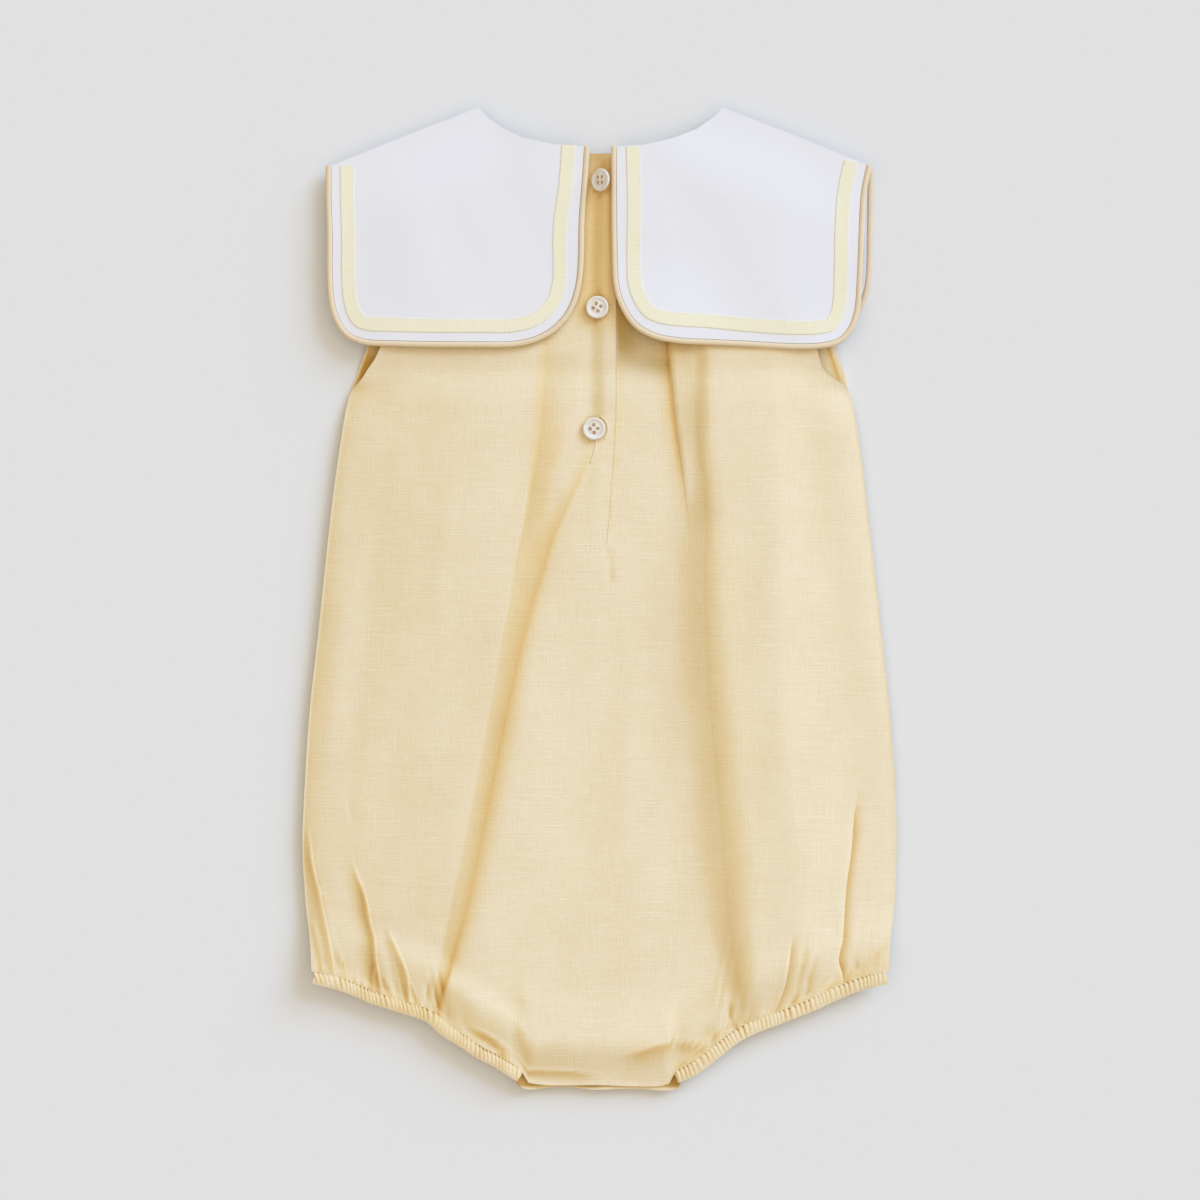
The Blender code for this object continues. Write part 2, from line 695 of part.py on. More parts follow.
def build_front_collar(profile, collection):
    columns = 20
    shares = spread(0, 1, 6) + [1]
    grid = collar_grid(FRONT_COLLAR, FRONT_COLLAR_TOP, FRONT_COLLAR_CORNERS, columns, shares)

    def place(column, row, _):
        x, y = grid[column][row]
        return x, y, 0

    sheet("front_collar", columns, len(shares) - 1, place, COLLAR_WALL, COTTON, collection)
    path = trim_path(FRONT_COLLAR, PIPING_WIDTH / 2, 40)
    level = FLAT_PIPING_HEIGHT / 2 + 0.2
    build_piping("piping_front", [(x, y, level) for x, y in path], profile, collection)


def build_casing(side, hem_line, collection):
    """The elasticated channel of one leg: a ribbed back half over a plain front half."""
    columns = 2 * CASING_RIBS
    spots = resample(offset_line(hem_line, CASING_WIDTH / 2), columns)
    inner = offset_line(spots, CASING_WIDTH / 2)
    outer = offset_line(spots, -CASING_WIDTH / 2)

    def ribbed(column, row, _):
        x, y = inner[column].lerp(outer[column], row / 2)
        rib = CASING_RIB_DEPTH * (0.5 if column % 2 else -0.5)
        arch = CASING_ARCH if row == 1 else 0.0
        return x, y, BACK_CASING_LEVEL + rib + arch

    sheet(f"leg_casing_{side}_back", columns, 2, ribbed, LINEN_WALL, LINEN, collection)

    plain_columns = 16
    spots = resample(offset_line(hem_line, CASING_WIDTH / 2), plain_columns)
    low_inner = offset_line(spots, CASING_WIDTH / 2)
    low_outer = offset_line(spots, -CASING_WIDTH / 2)

    def plain(column, row, _):
        x, y = low_inner[column].lerp(low_outer[column], row)
        return x, y, 0

    sheet(f"leg_casing_{side}_front", plain_columns, 1, plain, FRONT_CASING_WALL, LINEN,
          collection)


def build_crotch_band(collection):
    columns = 20
    top = straight_line([CROTCH_BAND_SIDE_LEFT[0], CROTCH_BAND_SIDE_RIGHT[0]])
    grid = coons(top, smooth_line(CROTCH_BAND_EDGE), straight_line(CROTCH_BAND_SIDE_LEFT),
                 straight_line(CROTCH_BAND_SIDE_RIGHT), columns, [0, 0.5, 1])

    def place(column, row, _):
        x, y = grid[column][row]
        return x, y, 0

    sheet("crotch_band_front", columns, 2, place, LINEN_WALL, LINEN, collection)


def build_button(name, spot, collection, cutters):
    """A four-hole button with a raised rim, turned about its own axis and then tilted."""
    profile = [(0, 1.3), (3.2, 1.35), (3.8, 2.05), (4.8, 2.15), (5.3, 1.8), (BUTTON_RADIUS, 1.1),
               (4.7, 0.2), (0, 0)]
    bm = bmesh.new()
    verts = [bm.verts.new((MM * radius, 0, MM * height)) for radius, height in profile]
    for first, second in zip(verts, verts[1:]):
        bm.edges.new((first, second))
    mesh = bpy.data.meshes.new(name)
    bm.to_mesh(mesh)
    bm.free()
    button = add_object(name, mesh, BUTTON_SHELL, 0.35, collection)
    turned = button.modifiers.new("turned", "SCREW")
    turned.steps = BUTTON_SIDES
    turned.render_steps = BUTTON_SIDES
    turned.use_merge_vertices = True
    turned.merge_threshold = 0.00001
    tilt = math.radians(spot.tilt)
    rise = BUTTON_RADIUS * math.sin(tilt)
    ground = max(back_top_z(spot.x + dx, spot.y + dy) for dx in (-5, 0, 5) for dy in (-5, 0, 5))
    button.location = MM * Vector((spot.x, spot.y, ground + SEAM_GAP + rise))
    button.rotation_mode = "QUATERNION"
    lean = Vector((-math.sin(tilt), 0, math.cos(tilt)))
    button.rotation_quaternion = lean.to_track_quat("Z", "Y")
    for index in range(4):
        angle = math.radians(90 * index + spot.turn)
        bpy.ops.mesh.primitive_cylinder_add(vertices=8, radius=MM * BUTTON_HOLE_RADIUS,
                                            depth=MM * 8)
        cutter = bpy.context.object
        cutter.name = f"{name}_hole_{index + 1}"
        cutter.parent = button
        cutter.location = MM * BUTTON_HOLE_SPACING * Vector((math.cos(angle), math.sin(angle), 0))
        cutter.hide_render = True
        cutter.display_type = "WIRE"
        for home in cutter.users_collection:
            home.objects.unlink(cutter)
        cutters.objects.link(cutter)
        hole = button.modifiers.new(cutter.name, "BOOLEAN")
        hole.object = cutter
        hole.operation = "DIFFERENCE"


def build_romper():
    clear_scene()
    parts = new_collection("baby_romper")
    cutters = new_collection("cutters_and_profiles")
    thick = ellipse_profile("piping_section", PIPING_WIDTH, PIPING_HEIGHT, cutters)
    flat = ellipse_profile("flat_piping_section", PIPING_WIDTH, FLAT_PIPING_HEIGHT, cutters)

    build_front_collar(flat, parts)
    build_front_panel(parts)
    build_crotch_band(parts)
    build_back_panel(parts)
    build_underlap(parts)
    build_casing("left", LEFT_HEM_LINE, parts)
    build_casing("right", RIGHT_HEM_LINE, parts)

    left_shoulder = straight_line(LEFT_WING_TOP[:3])
    right_shoulder = straight_line(RIGHT_WING_TOP[-3:])
    wings = [("left", LEFT_WING, LEFT_WING_TOP, LEFT_WING_CORNERS, left_shoulder),
             ("right", RIGHT_WING, RIGHT_WING_TOP, RIGHT_WING_CORNERS, right_shoulder)]
    for side, outline, top, corners, shoulder in wings:
        build_wing(side, outline, top, corners, shoulder, parts)
        build_ribbon(side, outline, shoulder, parts)
        build_wing_piping(side, outline, shoulder, thick, parts)

    for index, spot in enumerate(BUTTONS):
        build_button(f"button_{index + 1}", spot, parts, cutters)


build_romper()
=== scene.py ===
"""Baby bubble romper with a split sailor collar, laid flat with its back up.

Sizes are written in millimetres and scaled to metres when a piece is made. +Y points to the neck
and +Z up through the back. From the surface up: front collar, front panel, back panel, placket,
back collar wings, piping, ribbon and buttons.
"""
import math
from collections import namedtuple

import bmesh
import bpy
import numpy as np
from mathutils import Matrix, Vector


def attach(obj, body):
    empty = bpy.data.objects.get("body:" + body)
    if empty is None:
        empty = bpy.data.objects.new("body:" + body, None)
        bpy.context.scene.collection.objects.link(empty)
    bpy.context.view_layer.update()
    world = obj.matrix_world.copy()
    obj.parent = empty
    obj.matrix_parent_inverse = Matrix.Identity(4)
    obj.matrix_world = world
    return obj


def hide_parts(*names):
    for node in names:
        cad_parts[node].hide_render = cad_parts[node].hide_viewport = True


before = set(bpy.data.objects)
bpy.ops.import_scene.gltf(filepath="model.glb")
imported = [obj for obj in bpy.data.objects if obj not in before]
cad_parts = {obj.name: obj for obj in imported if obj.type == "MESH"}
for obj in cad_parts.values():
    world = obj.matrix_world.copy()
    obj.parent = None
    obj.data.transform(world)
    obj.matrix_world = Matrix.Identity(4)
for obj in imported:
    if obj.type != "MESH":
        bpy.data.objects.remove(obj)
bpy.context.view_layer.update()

bl_info = {
    "name": "Baby romper",
    "version": (1, 0, 0),
    "blender": (4, 5, 0),
    "location": "View3D > Sidebar > Romper",
    "description": "Makes a bubble romper with a split sailor collar, laid flat",
    "category": "Object",
}

MM = 0.001

# Where the back and the underlap lie on the bolt of cloth, so that their weaves differ
BACK_CLOTH = 300.0
UNDERLAP_CLOTH = 600.0

# Rounds in which the ends of a grid's slanted lines are found
GRID_END_ROUNDS = 6

# Cloth and the gaps between pieces
SEAM_GAP = 0.3
LINEN_WALL = 1.0
COLLAR_WALL = 1.2
PIPING_WIDTH = 2.7
PIPING_HEIGHT = 2.0
FLAT_PIPING_HEIGHT = 1.2
PIPING_CLEARANCE = 0.3
WHITE_MARGIN = 4.4
RIBBON_WIDTH = 6.35
RIBBON_WALL = 0.3
RIBBON_RIB_PITCH = 0.95
RIBBON_SELVEDGE = (2.75, 2.45)
TRIM_GAP = 0.02
WING_PIPING_LIFT = 0.75
FLAT_PIPING_LIFT = 0.2
COLLAR_EDGE_GAP = 0.1
COLLAR_ROW_EASE = 1.15

# Stitches: length as a share of their pitch, or in millimetres, radius and distance to an edge
COLLAR_STITCH_SHARE = 0.7
COLLAR_STITCH_RADIUS = 0.16
COLLAR_STITCH_INSET = 1.3
RIBBON_STITCH_SHARE = 0.72
RIBBON_STITCH_RADIUS = 0.14
RIBBON_STITCH_INSET = 0.35
PLACKET_STITCH_PITCH = 2.0
PLACKET_STITCH_LENGTH = 1.5
PLACKET_STITCH_RADIUS = 0.26
PLACKET_STITCH_LIFT = 0.03
THREAD_LIFT = 0.25
THREAD_WIDTH = 0.55
THREAD_HEIGHT = 0.5

# Leg casings, and the ribs that the elastic draws into their back halves, with painted shade and
# painted shadow in the grooves. Stretches are the middle and half width in x of a part that is
# smoother, or of a part with more painted shade.
HEM_SEAM_GAP = 0.1
CASING_WIDTH = 5.6
CASING_LEVEL = 1.9
CASING_ARCH = 0.6
CASING_FRONT_LIFT = 0.25
CASING_FRONT_WAVE = 0.2
RIB_COLUMNS = 9
RIB_DEPTH = 0.75
RIB_HALF_WIDTH = 0.23
RIB_EDGE_DRAW = 0.3
RIB_PAINTED_SHADE = 4.0
RIB_PAINTED_SHADOW = 0.55
SMOOTH_STRETCH = (-75.0, 6.0)
SMOOTH_STRETCH_LOSS = 0.85
SHADED_STRETCH = (-88.0, 24.0)
LEAST_STRETCH_SHADE = 0.05
MOST_STRETCH_SHADE = 0.3

# Placket
SLIT_END = 21.0
SLIT_HALF_GAP = 0.04
UNDERLAP_WIDTH = 9.2
LAP_WIDTH = 4.8
LAP_RAMP = 8.0
LAP_FADE = 12.0
LAP_SLACK = 0.25
UNDERLAP_TOP = 213.0
UNDERLAP_FOOT = 39.0
UNDERLAP_DROP = 1.3
UNDERLAP_BUTTONED_DROP = 0.75
BUTTONED_SPAN = (70.0, 25.0)
PLACKET_STITCH_ROWS = (31.7, 25.9)
PLACKET_STITCH_ENDS = (-9.1, 3.4)
LOOSE_THREAD = [(-1.4, 76.4), (-4.3, 65.3)]
LOOSE_THREAD_BOW = 0.5
THREAD_RING_RADIUS = 6.7
THREAD_RING_TURN = (-42.0, 62.0)

# Puff of the laid-out body. A span is where an effect starts or ends and how far it takes to
# grow or fade, along y, in from the edge or out from the middle.
SIDE_CURL = 2.0
SIDE_CURL_WIDTH = 26.0
SIDE_CURL_SPAN = (103.0, 25.0)
FRONT_COLLAR_SPAN = (107.0, 13.0)
CROWN = 6.4
CROWN_REACH = 24.0
MIDDLE_SAG = 0.4
MIDDLE_SAG_REACH = 70.0
LEAST_CROWN = 0.3
COLLAR_PRESS = 0.55
COLLAR_PRESS_SPAN = (92.0, 32.0)
ARMHOLE_LIFT = 3.0
ARMHOLE_LIFT_REACH = 14.0
ARMHOLE_LIFT_SPAN = (98.0, 10.0)
NECK_CLOSE_REACH = 15.0
HEM_PUFF_REACH = 23.0
HEM_CLOSE = 0.1
HEM_CROWN = 0.62
HEM_CROWN_REACH = 8.0
HEM_LIFT = 5.0
HEM_LIFT_REACH = 34.0
CROTCH_SPAN = (46.0, 16.0)
CROTCH_LIFT_LOSS = 0.45
RIPPLE_EDGE = 12.0
RIPPLE_SPAN = (110.0, 20.0)

# The collar's wings bridge the body at one level, with a raised inner corner on the right
WING_LEVEL = 8.8
WING_SIDE_LEVEL = 6.8
WING_CORNER_LIFT = 3.2
WING_CORNER = (24.0, 127.0)
WING_CORNER_REACH = 42.0
WING_SIDE_START = 12.0
WING_SIDE_REACH = 40.0
WING_CLEARANCE = 0.45
SHOULDER_EDGE_LEVEL = 5.6
SHOULDER_TURN = 40.0
Wave = namedtuple("Wave", "height x_length y_length phase")
WING_WAVES = [Wave(0.12, 17.0, 23.0, 0), Wave(0.06, 9.0, -31.0, 0),
              Wave(0.07, 6.5, 11.0, 0), Wave(0.06, 11.0, -7.0, 1.0)]

# Pleats and the folds that they open into
PLEAT_PRESS = 0.5
PLEAT_PRESS_SPAN = (118.0, 20.0)
PLEAT_NECK_SPAN = (212.0, 30.0)
PLEAT_EDGE_SPAN = (-4.0, 10.0)
EDGE_TURN = 0.7
PLEAT_RELAX = 14.0
BANK_WALL = 9.0
BANK_WIDTH = 50.0
TUCK_BEFORE = 0.4
TUCK_TURNED = 0.9
TUCK_APPROACH = 9.0
TUCK_WIDTH = 18.0
STEP_SHOULDER = 62.0
CREST_HEIGHT = 0.8
CREST_WIDTH = 18.0

# Free folds: those that end below HEM_FOLD_END run on into the hem, sides wider than WIDE_FOLD
# are hollow, and only folds with a side narrower than CRISP_FOLD get painted shade
FOLD_RELIEF = 0.6
FOLD_EDGE_SPAN = (-5.0, 8.0)
FOLD_AT_HEM = 0.45
FOLD_HEM_REACH = 10.0
HEM_FOLD_END = -175.0
HEM_FOLD_RUN_ON = 0.7
WIDE_FOLD = 2.4
WIDE_FOLD_POWER = 2.0
WIDE_SHADE_POWER = 1.9
NARROW_SHADE_POWER = 3.0
CRISP_FOLD = 2.3

# Painted shade: how strongly folds are tinted with the deeper colour that shade and light passed
# between layers of cloth give them
SLOPE_PAINTED_SHADE = 2.2
STEEPEST = 0.6
HOLLOW_PAINTED_SHADE = 0.25
HOLLOW_REACH = 5.0
DEEPEST_HOLLOW = 3.0
BLUR_STEP = 0.5
SLOPE_BLUR_STEPS = 1.2
LIGHT_WAY = (0.9, 0.25)
DEEPEST_PAINTED_SHADE = 2.0
TINT_PLACES = (0.2, 0.5)
CORE_POWERS = (1.3, 1.8)
STEP_POWERS = (1.0, 1.3)
STEP_LEFT_SHARE = 0.4
ARMHOLE_CREASE = 2.9
WING_SHADOW_START = (12.5, 114.2)
WING_SHADOW_SLANT = 0.345

# Gathers above the leg hems: wavelength, height, reach up the panel, unevenness and painted
# shade.
# They set in over GATHER_EASE at a hem's ends, stray from an even pitch over a long and a short
# length, and lie about their mean height, RIDGE_LEVEL.
Gather = namedtuple("Gather", "wavelength height reach wobble shade")
GATHERS = [
    Gather(2.2, 0.45, 3.0, 0.25, 1.5),
    Gather(5.6, 0.6, 7.0, 0.35, 0.7),
    Gather(13.0, 0.7, 16.0, 0.3, 0.3),
]
GATHER_EASE = 14.0
RIDGE_LEVEL = 0.64
LONG_WANDER = 9.7
SHORT_WANDER = 4.1

# The tables that follow are names of columns and rows that start with a distance up the garment

# Side edges of the back and front panels
EDGES = ("back_left back_right front_left front_right", [
    (215, -96, 95, -96, 95),
    (172, -93.5, 92.5, -98, 98),
    (143, -97, 96, -105, 106),
    (121, -105, 104, -112, 113.5),
    (115, -108, 105.6, -114, 115.5),
    (111, -110.9, 107, -115.7, 117),
    (107, -113.3, 111, -117, 118.5),
    (103, -116.8, 117.3, -118.8, 119.3),
    (98, -120, 120.3, -120, 120.3),
    (77, -124, 124.5, -124, 124.5),
    (47, -128.2, 128.2, -128.2, 128.2),
    (-20, -135.4, 135.8, -135.4, 135.8),
    (-58, -139.5, 139.7, -139.5, 139.7),
    (-96, -141.8, 142.2, -141.8, 142.2),
    (-116, -142.6, 142.6, -142.6, 142.6),
    (-145, -141.1, 141.6, -141.1, 141.6),
    (-164, -138.6, 139.2, -138.6, 139.2),
    (-184, -137.3, 137.8, -137.3, 137.8),
])

# Lines that run down the back panel
FOLD_LINES = ("left_pleat left_core left_crotch slit right_crotch "
              "right_tuck step_core right_step right_crest", [
    (215, -27, -8, -2, 9, 22, 30, 41, 48, 80),
    (123, -27.8, -4.8, 0, 7.9, 22, 33.8, 45, 53, 83.5),
    (91, -29.9, -3.8, 1, 7.9, 23, 36, 46.4, 53.3, 84),
    (73, -31.8, -4.6, 1, 7.2, 24, 38.3, 47.4, 53.8, 84.5),
    (57, -34.4, -10, -3, 6, 25, 40.2, 50, 55, 84.7),
    (42, -36.4, -16.6, -8, 4.9, 26, 41.8, 51.2, 56, 85),
    (28, -39.2, -22.6, -13, 3.7, 26, 43, 51, 56.5, 85.3),
    (12, -42.2, -27.4, -17, 3.9, 26, 44, 50.4, 57.7, 85.5),
    (-1, -44, -31.4, -20.5, 4.2, 26.5, 45, 50.6, 59.5, 85.7),
    (-25, -48.6, -37.8, -24.5, 4.6, 27.5, 46.5, 51.6, 62.5, 86),
    (-49, -52.6, -43, -28, 5, 29, 48, 53, 66, 86.5),
    (-97, -61.6, -52.7, -33, 5, 31.5, 51.6, 57.4, 71.3, 91),
    (-145, -71.2, -62.6, -35, 4.6, 34, 54.6, 61.2, 74.4, 96.5),
    (-173, -76.6, -70.2, -36.4, 4.3, 35.2, 57, 64.5, 75.6, 98),
    (-200, -81, -77.5, -38.4, 4, 36.8, 60, 69.4, 75, 98.5),
    (-233, -84, -80, -38.4, 4, 36.8, 64, 71, 76, 99),
])

# Lines of the panel's grid that end along the largest folds of the leg hems
GRID_LINES = ("left_a left_b left_c right_a right_b", [
    (215, -90, -70, -55, 68, 86),
    (123, -98, -82, -66, 80, 94),
    (91, -115, -95, -76, 84, 110),
    (57, -121, -101.5, -83, 87, 117),
    (28, -125, -105.5, -89, 89, 121),
    (-1, -128.5, -110, -94, 90.5, 123.5),
    (-49, -134.8, -117, -100.5, 92.5, 126.3),
    (-97, -139.8, -119.8, -104, 93.5, 123),
    (-120, -138.4, -119.6, -104.4, 93.3, 120.5),
    (-145, -133.6, -112.2, -103.6, 92.8, 117.5),
    (-160, -130.8, -108.8, -100.8, 92, 116.4),
    (-173, -128.5, -107.3, -95, 90.5, 114.4),
    (-186, -126.8, -105.3, -91.8, 88.2, 118),
    (-200, -124, -103.6, -91, 83.2, 118),
    (-233, -122, -100, -90, 80, 118),
])

# Heights and widths of the pleats and the folds that they open into
FOLD_SIZES = ("pleat_drop pleat_rise pleat_width bank step_rise step_width tuck", [
    (215, 0.6, 1.0, 14, 0, 1.0, 8, 0.8),
    (123, 0.7, 0.8, 18, 0, 1.9, 8, 1.0),
    (91, 0.7, 0.9, 17, 0, 2.1, 9, 1.1),
    (68, 0.6, 0.9, 16, 0.2, 2.2, 10, 0.9),
    (53, 0.6, 1.0, 15, 0.8, 2.3, 12, 0.5),
    (38, 0.5, 0.7, 13, 1.2, 2.6, 16, 0.1),
    (20, 0.3, 0.4, 11, 1.5, 3.0, 21, 0),
    (-50, 0.12, 0.2, 7, 1.6, 3.4, 27, 0),
    (-110, 0.1, 0.2, 6, 1.7, 3.4, 28, 0),
    (-150, 0.1, 0.2, 4, 1.7, 3.2, 25, 0),
    (-185, 0.1, 0.1, 3.5, 1.3, 2.3, 15, 0),
    (-205, 0.2, 0.1, 3, 0.5, 1.0, 10, 0),
])

# Depth and reach of the painted shade in the left valley, beside the left pleat, along the right
# step and in the tuck
SHADES = ("core core_left core_right beside beside_reach step step_left step_right tuck", [
    (215, 0, 7, 4, 0.1, 2, 0.2, 6, 5, 1.5),
    (120, 0, 7, 4, 0.05, 2, 0.1, 8, 8, 1.5),
    (105, 0, 7, 4, 0.1, 4, 0.15, 8, 8, 1.5),
    (88, 0, 7, 4, 0.2, 8, 0.25, 9, 8, 1.3),
    (76, 0.1, 7, 4, 0.3, 11, 0.25, 11, 9, 1.2),
    (57, 0.6, 7, 3, 0.35, 8, 0.3, 16, 11, 0.6),
    (42, 0.75, 9, 3, 0.35, 8, 0.4, 18, 12, 0.25),
    (28, 0.85, 12, 4, 0.35, 8, 0.3, 20, 15, 0),
    (0, 0.95, 13, 5.5, 0.1, 4, 0.28, 27, 22, 0),
    (-48, 0.95, 9.6, 7.5, 0, 3, 0.27, 27, 23, 0),
    (-97, 0.9, 8.6, 8.5, 0, 3, 0.25, 24, 22, 0),
    (-145, 0.9, 8.6, 8, 0, 3, 0.21, 19, 19, 0),
    (-173, 1.2, 7, 4.5, 0, 3, 0.24, 10, 9, 0),
    (-182, 1.5, 6.5, 1.8, 0, 3, 0.26, 9, 8, 0),
    (-195, 1.1, 4.5, 1.8, 0, 2, 0.3, 7, 6, 0),
    (-210, 0.1, 3, 2, 0, 2, 0.2, 5, 5, 0),
])

# The neck and shoulder edges of the two body panels, left to right
BACK_TOP = [(-96, 214.8), (-62, 227.6), (-50, 223.5), (-36, 217.8), (-21, 214.8), (0, 213.8),
            (21, 214.8), (36, 217.8), (50, 223.5), (61, 227.6), (95, 214.8)]
FRONT_TOP = [(-96, 214.8), (-62, 227.6), (-48, 205), (-28, 190), (0, 184),
             (28, 190), (48, 205), (61, 227.6), (95, 214.8)]

# Lower edges of the leg hems, left to right, and of the crotch
LEFT_HEM = [(-137.3, -183.4), (-127, -186), (-119.5, -188.8), (-110.5, -192.8), (-95.5, -197.6),
            (-83, -202), (-76, -208), (-66.2, -214.2), (-59.5, -218.9), (-50, -223.8),
            (-39.6, -230.6)]
RIGHT_HEM = [(38, -231.5), (47.5, -226.4), (59.5, -217.2), (67, -211.5), (74.9, -207.4),
             (89.3, -202), (103.2, -196.4), (113.8, -191.5), (126.7, -186.3), (137.8, -183.4)]
BACK_CROTCH = [(-37.1, -229.8), (-34.4, -231.6), (-24, -232.9), (0, -232.8), (13.4, -233.3),
               (28.5, -233.3), (33.5, -232.1), (35.9, -230.3)]
FRONT_CROTCH_SEAM = -217.4
CROTCH_LEFT = -37.3
CROTCH_RIGHT = 36.6
CROTCH_TURN = 1.4
CROTCH_BAND_SIDE_LEFT = [(-37, -217.8), (-37.9, -224.6), (-41, -230.2)]
CROTCH_BAND_SIDE_RIGHT = [(36.2, -217.8), (36.5, -225.6), (39, -231.4)]
CROTCH_BAND_EDGE = [(-41, -230.2), (-37.4, -234.2), (-32, -235.3), (-22, -234), (-12, -234.2),
                    (-4, -235.4), (10, -235), (22, -235.2), (34, -235.7), (37.6, -234.4),
                    (39, -231.4)]

# Outer edges of the collar, piping included, from the left top corner round to the right one
LEFT_WING = [(-131.2, 207.8), (-131.1, 192), (-130.5, 175), (-130.5, 156), (-129.6, 143),
             (-126.8, 132.9), (-121.3, 125.6), (-112.8, 121.9), (-100, 121.1), (-85, 120.7),
             (-57, 120.5), (-42, 120.7), (-31, 122.8), (-21.1, 128.1), (-13.2, 137.2),
             (-8.9, 149.3), (-7.5, 163), (-7.1, 182), (-5.7, 200), (-4.6, 216.6)]
RIGHT_WING = [(5.5, 216.6), (5.5, 198), (5.6, 178), (5.9, 162), (6.7, 149.6), (9.8, 139.6),
              (16.3, 129.9), (26, 124.4), (38, 122.2), (52, 121.6), (69, 120.9), (94, 119.6),
              (107, 120.2), (115.9, 122.9), (121.6, 129.4), (124.7, 138.6), (126, 156),
              (126.8, 176), (128, 195), (130.6, 207.8)]
LEFT_WING_TOP = [(-131.2, 207.8), (-96, 221), (-58, 235.7), (-53.5, 230.8), (-46, 225.4),
                 (-36, 220.6), (-21, 217.4), (-4.6, 216.6)]
RIGHT_WING_TOP = [(5.5, 216.6), (20, 217.2), (34.5, 220.4), (46, 225), (54.7, 231), (59, 235.7),
                  (94, 222.2), (130.6, 207.8)]
LEFT_WING_CORNERS = (0.30, 0.645)
RIGHT_WING_CORNERS = (0.345, 0.69)
FRONT_COLLAR = [(-128.6, 206.5), (-128.6, 190), (-128.4, 172), (-127.6, 150), (-123.6, 137),
                (-115, 127.6), (-103, 124), (-85, 123.2), (-45, 123), (0, 123), (45, 123),
                (85, 123.2), (104, 124), (117.5, 129), (126, 139), (129.8, 148.5), (131, 158),
                (131.4, 175), (131.6, 190), (131.9, 206.5)]
FRONT_COLLAR_CORNERS = (0.20, 0.81)
FRONT_COLLAR_TOP = [(-128.6, 206.5), (-94, 220), (-60, 233), (-52, 214), (-32, 196), (0, 189),
                    (32, 196), (52, 214), (61, 233), (96, 220), (131.9, 206.5)]

# Where the ribbons stray from an even distance to the piping: place, reach and shift
Stray = namedtuple("Stray", "x y reach shift_x shift_y")
RIBBON_STRAYS = [
    Stray(-19, 172, 30, -1.5, 0), Stray(21, 190, 40, 0.8, 0), Stray(118, 180, 36, -0.7, 0),
    Stray(44, 133, 34, 0, 1.3),
]

